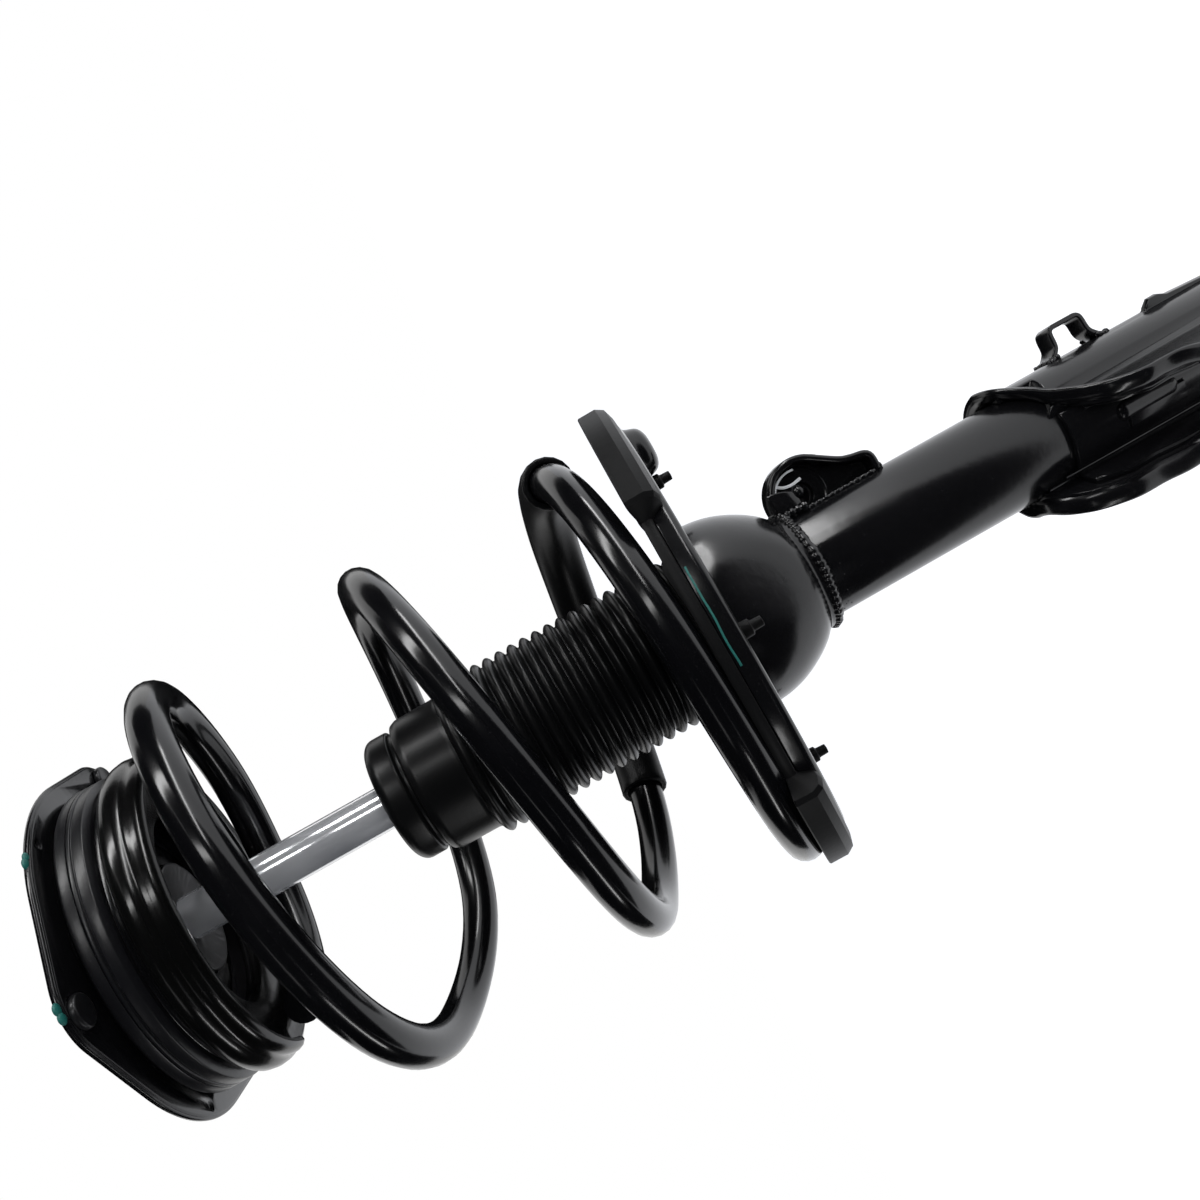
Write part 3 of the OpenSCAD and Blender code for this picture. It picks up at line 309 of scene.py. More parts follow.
# Name, colour, dust, its amount, roughness, its spread, wear, its amount, grain, its height, shader
FINISHES = [
    ("black_paint", (0.003, 0.003, 0.0035), DARK, 0.3, 0.15, 0.09, WORN_PAINT, 0.15, 240, 0.10, gloss(0.42)),
    ("spring_paint", (0.002, 0.002, 0.0025), DARK, 0.3, 0.13, 0.08, DARK, 0.0, 120, 0.08, gloss(0.42)),
    ("rubber", (0.003, 0.003, 0.0032), GREY, 0.04, 0.30, 0.12, GREY, 0.0, 420, 0.12, gloss(0.15)),
    ("pad_rubber", (0.004, 0.004, 0.0042), GREY, 0.05, 0.42, 0.10, GREY, 0.0, 420, 0.12, gloss(0.12)),
    ("gloss_rubber", (0.002, 0.002, 0.002), GREY, 0.03, 0.15, 0.10, GREY, 0.0, 300, 0.08, gloss(0.45)),
    ("boot_rubber", (0.003, 0.003, 0.0032), GREY, 0.03, 0.30, 0.06, GREY, 0.0, 600, 0.06, gloss(0.24)),
    ("bearing_plastic", (0.005, 0.005, 0.006), GREY, 0.12, 0.28, 0.12, GREY, 0.3, 420, 0.15, gloss(0.42)),
    ("dark_steel", (0.012, 0.012, 0.013), DARK, 0.15, 0.26, 0.1, DARK, 0.2, 500, 0.08, metal(0.5)),
    ("bare_steel", (0.42, 0.42, 0.43), DARK, 0.15, 0.3, 0.2, GREY, 0.2, 500, 0.15, metal(1.0)),
    ("chrome", (0.90, 0.91, 0.93), GREY, 0.0, 0.13, 0.02, GREY, 0.0, 60, 0.0, metal(0.72)),
    ("bronze", (0.35, 0.24, 0.1), DARK, 0.2, 0.35, 0.2, GREY, 0.1, 300, 0.1, metal(1.0)),
    ("cage_plastic", (0.02, 0.02, 0.022), GREY, 0.1, 0.45, 0.1, GREY, 0.0, 300, 0.1, {}),
    ("seal_plastic", (0.1, 0.08, 0.05), GREY, 0.1, 0.45, 0.1, GREY, 0.0, 300, 0.1, {}),
    ("foam", (0.62, 0.5, 0.2), DARK, 0.2, 0.8, 0.1, GREY, 0.0, 1500, 0.6, {}),
    ("green_mark", (0.006, 0.10, 0.085), DARK, 0.6, 0.4, 0.2, GREY, 0.0, 500, 0.2, {}),
    ("pale_mark", (0.85, 0.86, 0.87), DARK, 0.3, 0.45, 0.1, GREY, 0.0, 400, 0.2, {})]
finishes = {row[0]: finish_of(*row) for row in FINISHES}
print("finishes", list(finishes))

# %% Finishes on the frame's solids
slot_of = {}
for part in frame["record"]["subparts"]:
    slot_of[part["node"]] = part["material_slot"]
    solid = nodes[part["node"]]
    solid.data.materials.clear()
    solid.data.materials.append(finishes[part["material_slot"]])
print("slots", sorted(set(slot_of.values())))

# %% [markdown]
# ## Ways of making a piece
#
# Most pieces of a strut are turned, moulded or pressed round one axis. Each starts as a circle
# whose points are moved to the cross-section, and is spun round the axis, as on a lathe. Edges
# of real sheet and rubber are never sharp, so the outline's corners are rounded first. Wires and
# weld beads start as a path with a round section. Pieces that the frame already shapes well are
# copied, merged and given rounded edges, because a sharp edge catches no highlight.

# %% Selecting and entering edit mode
def start_clean():
    if bpy.context.object and bpy.context.object.mode != "OBJECT":
        bpy.ops.object.mode_set(mode="OBJECT")
    bpy.ops.object.select_all(action="DESELECT")

def only(piece):
    start_clean()
    piece.select_set(True)
    bpy.context.view_layer.objects.active = piece

def edit(choice="SELECT"):
    """Edit mode with everything selected, or with nothing."""
    bpy.ops.object.mode_set(mode="EDIT")
    bpy.ops.mesh.select_all(action=choice)

def made_solid(open_ends=False):
    """Merges doubled points, fills open ends, turns all faces outwards and leaves edit mode."""
    bpy.ops.mesh.select_all(action="SELECT")
    bpy.ops.mesh.remove_doubles(threshold=1e-6)
    if open_ends:
        bpy.ops.mesh.select_all(action="DESELECT")
        bpy.ops.mesh.select_non_manifold()
        bpy.ops.mesh.fill_holes(sides=0)
        bpy.ops.mesh.select_all(action="SELECT")
    bpy.ops.mesh.normals_make_consistent(inside=False)
    bpy.ops.object.mode_set(mode="OBJECT")

# %% [markdown]
# An outline is drawn with sharp corners first, because those are its sizes. Each corner is then
# swapped for a short curve, as a fillet in a sketch, and long sides get points in between where
# they will be bent later.

# %% Outlines and paths
def rounded(outline, radius, steps):
    """A closed outline with each corner cut back by up to the radius and joined by a short curve.
    A third number on a point is that corner's own radius."""
    made = []
    for i, point in enumerate(outline):
        corner = Vector(point[:2])
        before, after = Vector(outline[i - 1][:2]), Vector(outline[(i + 1) % len(outline)][:2])
        size = point[2] if len(point) > 2 else radius
        size = min(size, (before - corner).length * 0.49, (after - corner).length * 0.49)
        if size < 0.02:
            made.append(tuple(corner))
            continue
        a = corner + (before - corner).normalized() * size
        b = corner + (after - corner).normalized() * size
        for k in range(steps + 1):
            u = k / steps
            made.append(tuple(a * (1 - u) ** 2 + corner * 2 * u * (1 - u) + b * u ** 2))
    return made

def dense(outline, step):
    """The same closed outline with points no further apart than the step."""
    made = []
    for i, point in enumerate(outline):
        a, b = Vector(point[:2]), Vector(outline[(i + 1) % len(outline)][:2])
        count = max(1, math.ceil((b - a).length / step))
        made += [tuple(a.lerp(b, k / count)) for k in range(count)]
    return made

def strip(width, thick, radius):
    x, y = width / 2, thick / 2
    return rounded([(-x, -y), (x, -y), (x, y), (-x, y)], radius, 3)

def smooth_path(points, step):
    """Points along a Catmull-Rom curve through the given ones, about a step apart."""
    points = [Vector(p) for p in points]
    made = []
    for i in range(len(points) - 1):
        p0, p1, p2, p3 = points[max(i - 1, 0)], points[i], points[i + 1], points[min(i + 2, len(points) - 1)]
        count = max(1, round((p2 - p1).length / step))
        for k in range(count):
            t = k / count
            made.append(0.5 * (2 * p1 + (p2 - p0) * t + (2 * p0 - 5 * p1 + 4 * p2 - p3) * t * t
                               + (3 * p1 - p0 - 3 * p2 + p3) * t ** 3))
    return made + [points[-1]]

def heading(path, i):
    """The path's direction at its point i."""
    return (path[min(i + 1, len(path) - 1)] - path[max(i - 1, 0)]).normalized()

def polar(radius, angle, z):
    return Vector((radius * math.cos(angle), radius * math.sin(angle), z))

# %% [markdown]
# Three ways turn an outline into a solid: spin it round Z, give a path a round section, or carry
# a section along frames that say how it is turned at each place. The first two are Blender's
# own Spin and curve bevel. The third bends a grid, closes its long seam and fills its ends.

# %% Lathe, bar and sweep
def lathe(name, outline, steps, start=0.0, turn=360.0):
    """Spins a closed outline of (radius, height) in millimetres round Z, counter-clockwise from start."""
    start_clean()
    bpy.ops.mesh.primitive_circle_add(vertices=len(outline), radius=0.01)
    piece = bpy.context.object
    piece.name = piece.data.name = name
    direction = polar(1, math.radians(start), 0)
    for vertex, (radius, height) in zip(piece.data.vertices, outline):
        vertex.co = (direction * radius + Vector((0, 0, height))) * MM
    edit()
    bpy.ops.mesh.spin(steps=steps, angle=-math.radians(turn), center=(0, 0, 0), axis=(0, 0, 1))
    made_solid(open_ends=turn < 360)
    return piece

def tube_along(name, points, radius, sides, caps=True):
    """A round bar through points given in metres."""
    start_clean()
    bpy.ops.curve.primitive_nurbs_path_add(radius=0.1)
    path = bpy.context.object
    path.name = path.data.name = name
    path.location = (0, 0, 0)
    path.data.splines.clear()
    line = path.data.splines.new("POLY")
    line.points.add(len(points) - 1)
    for spot, point in zip(line.points, points):
        spot.co = (*point, 1)
    path.data.bevel_depth = radius * MM
    path.data.bevel_resolution = max(0, sides // 4 - 1)
    path.data.use_fill_caps = caps
    bpy.ops.object.convert(target="MESH")
    piece = bpy.context.object
    edit()
    made_solid()
    return piece

def swept(name, frames, outlines):
    """A bar through frames (place, a, b), whose section at each frame is a closed outline of (a, b)."""
    start_clean()
    columns = len(outlines[0])
    bpy.ops.mesh.primitive_grid_add(x_subdivisions=columns, y_subdivisions=len(frames) - 1, size=1)
    piece = bpy.context.object
    piece.name = piece.data.name = name
    for i, vertex in enumerate(piece.data.vertices):
        row, column = divmod(i, columns + 1)
        place, a, b = frames[row]
        x, y = outlines[row][column % columns][:2]
        vertex.co = (place + a * x + b * y) * MM
    edit()
    made_solid(open_ends=True)
    return piece

# %% [markdown]
# The last helpers finish a piece: apply a modifier, join parts into one object, put its place
# into its mesh so that the object stays at the origin, and give it its body and finish.

# %% Finishing a piece
def modified(piece, kind, **settings):
    only(piece)
    made = piece.modifiers.new(kind.lower(), kind)
    for key, value in settings.items():
        setattr(made, key, value)
    bpy.ops.object.modifier_apply(modifier=made.name)

def joined(pieces, name):
    only(pieces[0])
    for piece in pieces[1:]:
        piece.select_set(True)
    bpy.ops.object.join()
    made = bpy.context.object
    made.name = made.data.name = name
    return made

def in_place(piece, matrix):
    piece.data.transform(matrix)
    piece.data.update()
    return piece

def settled(piece):
    """Moves the object's own place into its mesh."""
    in_place(piece, piece.matrix_world.copy())
    piece.matrix_world = Matrix.Identity(4)
    return piece

def ball_at(place, radius, segments, rings):
    bpy.ops.mesh.primitive_uv_sphere_add(segments=segments, ring_count=rings, radius=radius * MM, location=place * MM)
    return settled(bpy.context.object)

def fitted(piece, body, slot, *replaced, smooth, finish=None):
    only(piece)
    bpy.ops.object.shade_smooth_by_angle(angle=math.radians(smooth))
    piece.data.materials.clear()
    piece.data.materials.append(finishes[finish or slot])
    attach(piece, body)
    if replaced:
        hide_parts(*replaced)
    print(piece.name, len(piece.data.polygons), "faces")
    return piece

def soften(name, width, join_flats=True):
    """A copy of a frame solid, merged and with its sharp edges rounded."""
    start_clean()
    piece = bpy.data.objects.new(name + "_rounded", nodes[name].data.copy())
    scene.collection.objects.link(piece)
    only(piece)
    edit()
    bpy.ops.mesh.remove_doubles(threshold=1e-5)
    if join_flats:
        bpy.ops.mesh.dissolve_limited(angle_limit=math.radians(0.6))
    bpy.ops.object.mode_set(mode="OBJECT")
    modified(piece, "BEVEL", width=width * MM, segments=2, limit_method="ANGLE", angle_limit=math.radians(28),
             use_clamp_overlap=False, harden_normals=False)
    return piece

# %% [markdown]
# ## Levels and shared curves
#
# The pieces meet at a few levels and radii, so these are written once. The pan is tilted and
# turned, and one matrix holds that, so that whatever sits in the pan can be made level first.

# %% Levels of the frame, in millimetres
Z_PAN, Z_COIL_LOW, Z_BOOT_LOW, Z_CAP_TOP = -294.437, -278.75, -288.356, -210.937
PAN_R, PAN_T, RIM_H = 103.5, 3, 5.5
WIRE_R, SPRING_H, COIL_R, COIL_R_WIDE, COIL_R_TOP = 8.75, 232, 95.5, 101.5, 58.0
PAN_SHIFT = 3.5                     # the pan's centre lies this far off the strut's axis
SEAT = (Matrix.Rotation(math.radians(SEAT_TURN), 4, "Z") @ Matrix.Translation((-PAN_SHIFT * MM, 0, Z_PAN * MM))
        @ Matrix.Rotation(math.radians(-0.6), 4, "Y") @ Matrix.Rotation(math.radians(-9), 4, "X"))
TURN_TO_SEAT = Matrix.Rotation(math.radians(SEAT_TURN), 4, "Z")

def between(a, b, share):
    return a * (1 - share) + b * share

def smooth_step(x, low, high):
    u = min(1.0, max(0.0, (x - low) / (high - low)))
    return u * u * (3 - 2 * u)

print("pan tilted", round(math.degrees(SEAT.to_3x3().col[2].angle(Vector((0, 0, 1)))), 2), "degrees")

# %% [markdown]
# ## Coil spring
#
# The spring is bar wound on a mandrel, with a wide end that lies on the tilted pan and a small
# end under the top seat. Its pitch and radius change all along, so it is not a plain screw. A
# path through the wire's centre with a round section keeps the section round everywhere. The
# bar was cut cold, so both ends are flat with a small broken edge.

# %% Wire path
WIRE_PATH = [                       # turns from the low end, share of the height, share of the change of radius
    (0, 0, 1), (0.06, 0.0265, 0.8), (0.125, 0.0535, 0.5), (0.1875, 0.071, 0.2), (0.25, 0.082, 0.05),
    (0.5, 0.111, 0), (0.69, 0.15, 0), (0.86, 0.219, 0), (1, 0.314, 0), (1.23, 0.395, 0), (1.5, 0.529, 0),
    (1.68, 0.594, 0), (1.86, 0.65, 0), (2, 0.762, 0), (2.23, 0.852, 0), (2.5, 0.96, 0.03),
    (2.62, 0.983, 0.5), (2.75, 1, 0.88), (3, 1, 1)]

def path_value(t, column):
    rows, last = WIRE_PATH, len(WIRE_PATH) - 1
    i = 0
    while i < last - 1 and t >= rows[i + 1][0]:
        i += 1
    def slope(k):
        a, b = max(k - 1, 0), min(k + 1, last)
        return (rows[b][column] - rows[a][column]) / (rows[b][0] - rows[a][0])
    step = rows[i + 1][0] - rows[i][0]
    u = (t - rows[i][0]) / step
    return ((1 + 2 * u) * (1 - u) ** 2 * rows[i][column] + u * (1 - u) ** 2 * step * slope(i)
            + u * u * (3 - 2 * u) * rows[i + 1][column] + u * u * (u - 1) * step * slope(i + 1))

def wire_centre(t):
    share = min(1.0, max(0.0, path_value(t, 2)))
    radius = between(COIL_R, COIL_R_WIDE if t < 1.5 else COIL_R_TOP, share)
    angle = math.radians(180 + SEAT_TURN + 360 * t)
    shift = PAN_SHIFT * (1 if t < 1.5 else 1 - share)
    side = math.radians(180 + SEAT_TURN)
    return Vector((radius * math.cos(angle) + shift * math.cos(side), radius * math.sin(angle) + shift * math.sin(side),
                   Z_COIL_LOW + SPRING_H * min(1.0, path_value(t, 1)))) * MM

print("wire from", [round(v, 4) for v in wire_centre(0)], "to", [round(v, 4) for v in wire_centre(3)])

# %% Coil spring
def break_ends(piece, width):
    """Rounds the rim of each flat end."""
    only(piece)
    edit("DESELECT")
    bpy.ops.object.mode_set(mode="OBJECT")
    ends = [face for face in piece.data.polygons if len(face.vertices) > 8]
    for face in ends:
        face.select = True
    bpy.ops.object.mode_set(mode="EDIT")
    bpy.ops.mesh.region_to_loop()
    bpy.ops.mesh.bevel(offset=width * MM, segments=3, affect="EDGES")
    bpy.ops.object.mode_set(mode="OBJECT")
    print(piece.name, "flat ends", len(ends))

spring = tube_along("coil_spring_wire", [wire_centre(0.006 + 2.988 * i / 300) for i in range(301)], WIRE_R, sides=32)
break_ends(spring, 1.2)
fitted(spring, "upper_seat", "spring_paint", "coil_spring", smooth=50)
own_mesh(spring)

# %% [markdown]
# A rubber sleeve is pushed over part of the lowest coil, so that the coils don't knock on each
# other. It is a plain hose that takes the wire's bend, a little loose, with its wall seen at
# both ends. It is made like the wire, left open, and given its wall afterwards.

# %% Spring sleeve
sleeve_points = [wire_centre(0.476 + 0.384 * i / 60) for i in range(61)]
sleeve = tube_along("spring_sleeve_hose", sleeve_points, WIRE_R + 3.3, sides=32, caps=False)
for vertex in sleeve.data.vertices:
    wave = noise.noise(vertex.co * 30) * 0.35
    vertex.co += vertex.normal * wave * MM
modified(sleeve, "SOLIDIFY", thickness=2.9 * MM, offset=-1)
modified(sleeve, "BEVEL", width=0.9 * MM, segments=2, limit_method="ANGLE", angle_limit=math.radians(50))
fitted(sleeve, "upper_seat", "rubber", "spring_sleeve", smooth=50)
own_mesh(sleeve)

# %% [markdown]
# ## Dust boot
#
# The boot is blow-moulded rubber: a smooth collar that grips the bump stop, and a bellows that
# folds as the rod goes in. Each fold is a round crest with a narrow valley. One cross-section
# with every fold in it is spun once, which gives clean rings.

# %% Boot
PITCH, RIBS, ROOT_R, CREST, COLLAR_H = 6.3, 20, 32.5, 4.5, 39
z_rib_top = Z_BOOT_LOW + RIBS * PITCH
z_boot_top = z_rib_top + COLLAR_H

def fold_point(i, u, inset):
    return ROOT_R + CREST * math.sin(math.pi * u) ** 0.62 - inset, Z_BOOT_LOW + (i + u) * PITCH

outside = [fold_point(i, (k + 0.5) / 12, 0.12) for i in range(RIBS) for k in range(12)]
step_z = z_boot_top - COLLAR_H * 0.38
collar = rounded([
    (33.0, z_rib_top, 0.3), (32.5, z_rib_top + 1.6, 1.0), (32.2, step_z - 4, 1), (30.8, step_z - 0.8, 0.8),
    (27.6, step_z - 0.2, 0.5), (27.6, step_z + 1.4, 0.5), (29.5, step_z + 2.4, 0.8), (29.5, z_boot_top - 3.2, 3),
    (25.5, z_boot_top, 2.5), (13.5, z_boot_top, 1), (12.6, z_boot_top - 1.6, 0.6), (11.2, z_boot_top - 1.8, 0.4),
    (11.0, z_boot_top - 4), (25, z_boot_top - 4), (25, z_rib_top)], 1.0, 5)
inside = [fold_point(i, u, 1.9) for i in reversed(range(RIBS)) for u in (0.8, 0.5, 0.2)]
boot = lathe("dust_boot_bellows", outside + collar + inside, steps=112)
fitted(boot, "strut_body", "boot_rubber", "dust_boot", smooth=60)
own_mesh(boot)

# %% [markdown]
# The bump stop inside the boot is a foam buffer round the rod. It has rolls, so that it gives
# way softly at first and fills up at last. Its outline has one arch for each roll and is spun.

# %% Bump stop
ROLLS = 3
z_bump, z_bump_top = Z_CAP_TOP + 0.3, z_boot_top - 5
roll = (z_bump_top - z_bump) / ROLLS
outline = [(10.6, z_bump)]
for i in range(ROLLS):
    for k in range(10):
        u = (k + 0.5) / 10
        outline.append((20.3 + 3.1 * math.sin(math.pi * u) ** 0.5, z_bump + (i + u) * roll))
outline.append((10.6, z_bump_top))
bump_stop = lathe("bump_stop_rolls", outline, steps=64)
fitted(bump_stop, "strut_body", "foam", "bump_stop", smooth=60)
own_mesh(bump_stop)

# %% [markdown]
# ## Rubber under and over the spring
#
# The lower isolator lies in the pan. Over two spans it hooks over the pan's rim and stands up
# round the wire, and between them it is only a low wall. So one ring is spun with the low wall's
# cross-section, and each point is then moved out towards the hook's cross-section by how far
# round the ring it is. That gives the soft S-shaped steps of a moulding.

# %% Lower isolator
LOW = [(62, 0), (62, 1.6), (62.6, 2.2), (88, 2.2), (89.5, 3), (91.5, 6.6), (92.6, 7.4), (101.6, 7.4), (102.9, 8.0),
       (103.3, 9.4), (103.8, 10.2), (104.6, 10.2), (105.1, 9.4), (105.2, 8.0), (105.2, 6.6), (105.0, 5.9),
       (104.6, 5.6), (104.2, 5.52), (103.6, 5.5), (101.05, 5.5), (101.05, 0.8), (100.4, 0)]
HOOK = LOW[:7] + [(109.2, 7.2), (110.4, 8.0), (110.9, 10), (111.3, 12), (114.3, 12), (114.8, 11.5), (114.8, 3.2),
                  (112.6, -0.4), (108.0, -1.8), (104.6, -1.7), (103.7, -1.0), (103.6, 5.5)] + LOW[19:]

def moved_round(piece, first, second, share_at, lift_at=None):
    """Moves each point of a spun ring from the first cross-section towards the second."""
    for vertex in piece.data.vertices:
        x, y, z = vertex.co / MM
        radius, angle = math.hypot(x, y), math.degrees(math.atan2(y, x))
        k = min(range(len(first)), key=lambda i: (first[i][0] - radius) ** 2 + (first[i][1] - z) ** 2)
        share = share_at(angle)
        r, h = between(first[k][0], second[k][0], share), between(first[k][1], second[k][1], share)
        if lift_at:
            h += lift_at(angle, k)
        vertex.co = polar(r, math.radians(angle), h) * MM

def hook_share(angle):
    off = min(abs(angle), 180 - abs(angle))
    return 1 - smooth_step(off, 55.3, 58.3)

def ramp_lift(angle, k):
    """How far the top of the low wall rises to stay under the wire."""
    t = ((angle - 180) % 360) / 360
    if k not in (5, 6, 7) or not 0.1 < t < 0.33:
        return 0
    centre = SEAT.inverted() @ wire_centre(t) / MM
    under = centre.z - WIRE_R - (0.4 if k == 6 else 0.9) - LOW[6][1]
    return max(0, under) * (1 - smooth_step(t, 0.305, 0.325))

isolator = lathe("lower_isolator_ring", LOW, steps=360)
moved_round(isolator, LOW, HOOK, hook_share, ramp_lift)
NIPPLE = rounded([(0.01, 1), (2.9, 1), (2.9, -PAN_T), (3.7, -PAN_T - 0.4), (3.6, -PAN_T - 4.5),
                  (2.4, -PAN_T - 5), (2.2, -PAN_T - 9.6), (0.01, -PAN_T - 9.9)], 0.4, 3)
nipples = []
for i in range(4):
    nipple = lathe("nipple", NIPPLE, steps=28)
    spot = Matrix.Rotation(math.radians(90 * i), 4, "Z") @ Vector((72.5 * MM, 0, 0))
    nipples.append(in_place(nipple, Matrix.Translation(spot)))
isolator = joined([isolator] + nipples, "lower_isolator_ring")
in_place(isolator, SEAT)
fitted(isolator, "strut_body", "rubber", "lower_isolator", smooth=30, finish="pad_rubber")

# %% [markdown]
# The upper isolator is a round-edged ring on the small end of the spring. Over a part of its
# way round, a lip hangs down outside the wire. It is made like the lower one, from two
# cross-sections with as many points each.

# %% Upper isolator
FLAT = [(46, -26.3), (70, -26.3), (72.4, -27.2), (73.9, -29.6), (74.45, -32.6), (74.1, -35.2), (73.1, -36.8),
        (72.2, -37.5), (71.4, -37.7), (70.6, -37.7), (69.8, -37.7), (69.0, -37.7), (68.2, -37.7), (67.6, -37.7),
        (67.1, -37.7), (49.5, -37.7), (46.5, -35.5), (44.4, -31.5), (44.0, -28.5), (44.5, -26.6)]
LIP = FLAT[:7] + [(72.3, -38.3), (72.7, -40.2), (72.6, -42.4), (71.6, -44.8), (69.9, -46.2), (68.4, -46.0),
                  (67.5, -44.6), (67.35, -39)] + FLAT[15:]

def lip_share(angle):
    along = (angle - 207) % 360
    return smooth_step(along, 0, 9) * (1 - smooth_step(along, 159, 168)) if along <= 168 else 0

upper_ring = lathe("upper_isolator_ring", FLAT, steps=288)
moved_round(upper_ring, FLAT, LIP, lip_share)
fitted(upper_ring, "upper_seat", "rubber", "upper_isolator", smooth=40, finish="gloss_rubber")

# %% [markdown]
# The bush in the top mount is rubber that was moulded between its cup and its sleeve. Its free
# faces are hollow, because the rubber shrinks as it cools. One spun outline holds them.

# %% Rubber bush of the top mount
bush = lathe("bush_rubber_block", rounded([
    (14, -15.0), (20, -15.5, 1), (27.9, -17, 1), (28, -17.2), (36, -17.2), (36, 10.6, 1), (33, 13, 2), (27, 13, 2),
    (24.5, 10.2, 2), (21.5, 10.0, 2), (18.4, 10.4, 2), (17, 10, 1), (14, 9.8)], 0.5, 4), steps=96)
fitted(bush, "top_mount", "rubber", "bush_rubber", smooth=40)

# %% [markdown]
# ## Lower spring seat
#
# The pan is pressed from sheet, so its floor runs into its rim through a bend and its dome is a
# smooth swelling. The bell under it is drawn from the same sheet, with one side pressed flat to
# clear the knuckle, and it ends in a short neck round the tube. Both are spun, and the flat is
# made by pushing points that stand past a plane back onto it, softly, as a press does.

# %% Pan with its dome
pan = lathe("seat_pan", dense(rounded([
    (32.5, 0, 0.6), (32.5, -PAN_T, 0.6), (PAN_R, -PAN_T, 3.4), (PAN_R, RIM_H, 0.9), (PAN_R - 2.4, RIM_H, 0.9),
    (PAN_R - 2.5, 0, 1.2)], 0.6, 6), 6), steps=240)
for vertex in pan.data.vertices:    # the hole is round the strut's axis, which is off the pan's own
    radius = vertex.co.xy.length / MM
    vertex.co.x += PAN_SHIFT * MM * (1 - smooth_step(radius, 33, 60))
dome = lathe("pan_dome", dense(rounded([
    (0.01, -12.0), (6.5, -11.8, 3), (10.6, -9.6, 3), (12.2, -5.0, 3), (13.2, -3.2, 1.5), (15.5, -2.9, 1),
    (15.5, -1.2), (0.01, -1.2)], 0.5, 5), 2), steps=64)
in_place(dome, Matrix.Translation((88.5 * MM, 0, 0)))
pan = joined([pan, dome], "seat_pan")
in_place(pan, SEAT)
fitted(pan, "strut_body", "black_paint", "lower_spring_seat", smooth=40)

# %% Outline of the bell
BELL = dense(rounded([
    (46, Z_PAN + 14), (46, -299, 6), (45.4, -305, 5), (43.8, -312, 5), (41.0, -319, 5), (37.2, -326, 4),
    (33.6, -331, 3), (31.0, -333.6, 2), (29.2, -335.4, 1.5), (28.9, -339.2, 0.5), (25.7, -339.2, 0.3),
    (25.7, -335, 2), (30.5, -330, 3), (34.2, -326, 4), (38.0, -319, 4), (40.8, -312, 4), (42.4, -305, 4),
    (43, -299, 4), (43, Z_PAN + 14)], 0.5, 5), 1.3)
print("bell outline", len(BELL), "points")

# %% Bell with its pressed flat
FLAT_LEAN, FLAT_BEND = math.radians(16), 1.1     # how far the flat leans, and how softly it bends out
bell = lathe("seat_bell_pressing", BELL, steps=216)
flat_turn = Matrix.Rotation(math.radians(SEAT_TURN - 82), 3, "Z")
flat_normal = flat_turn @ Vector((math.cos(FLAT_LEAN), 0, -math.sin(FLAT_LEAN)))
flat_point = flat_turn @ Vector((42.2, 0, Z_PAN - 8))
for vertex in bell.data.vertices:
    point = vertex.co / MM
    radius = point.xy.length
    nearest = min(range(len(BELL)), key=lambda i: (BELL[i][0] - radius) ** 2 + (BELL[i][1] - point.z) ** 2)
    inner = nearest > len(BELL) // 2
    past = (point - flat_point).dot(flat_normal) + (PAN_T if inner else 0)
    if past > -6:
        vertex.co += flat_normal * (-FLAT_BEND * math.log1p(math.exp(-past / FLAT_BEND)) - past) * MM
only(bell)
under = SEAT @ Vector((0, 0, -PAN_T * MM))
edit()
bpy.ops.mesh.bisect(plane_co=under, plane_no=SEAT.to_3x3() @ Vector((0, 0, 1)), use_fill=True, clear_outer=True)
bpy.ops.object.mode_set(mode="OBJECT")
fitted(bell, "strut_body", "black_paint", "seat_bell", smooth=50)

# %% [markdown]
# ## Weld beads
#
# The brackets and the bell are welded to the tube by hand-held gun, so each bead is a little
# uneven and shows the ripple of the cooling metal. A bar along the seam with its points pushed
# in and out by a sine and some noise gives both. Paint covers it, so it has the paint's gloss.

# %% Weld bead round the bell's foot
def weld(name, path, radius, pitch=2.1, depth=0.28, sides=12, seed=1):
    """A weld bead: a bar along the seam with the ripples that each drop of metal leaves."""
    bead = tube_along(name, path, radius, sides)
    step = (path[1] - path[0]).length / MM
    for i, vertex in enumerate(bead.data.vertices):
        along, round_bar = (i // sides) * step, math.tau * (i % sides) / sides
        ripple = math.sin(math.tau * along / pitch - 0.9 * math.cos(round_bar)) * depth
        lump = noise.noise(vertex.co * 160 + Vector((seed, 0, 0))) * radius * 0.35
        vertex.co += vertex.normal * (ripple + lump) * MM
    return bead

def ring_path(radius, z, turn=361.0, step=0.5, wander=0.35):
    """A hand-led ring that overlaps its own start a little."""
    count = int(math.radians(turn) * radius / step)
    angles = [math.radians(turn * i / count) for i in range(count + 1)]
    return [polar(radius, a, z + 2 * wander * noise.noise(polar(3, a, z))) * MM for a in angles]

foot_bead = weld("bell_weld", ring_path(27.6, -339.7), 2.7, depth=0.34)
TUBE_R, SPATTER = 25.5, 26
spatter = []
random.seed(11)
for i in range(SPATTER):
    angle, drop = math.radians(random.uniform(0, 360)), random.uniform(-349, -343.5)
    spot = polar(TUBE_R, angle, drop) * MM
    bpy.ops.mesh.primitive_ico_sphere_add(subdivisions=1, radius=random.uniform(0.25, 0.5) * MM, location=spot)
    spatter.append(settled(bpy.context.object))
foot_bead = joined([foot_bead] + spatter, "bell_weld")
fitted(foot_bead, "strut_body", "black_paint", "seat_weld", smooth=60)

# %% [markdown]
# ## Paint marks
#
# After a check in the factory a part gets a dab or a line of green paint. A thin line is a
# piece of a ring that lies on the pan's rim, and a dab is a flattened ball at the plate's edge.

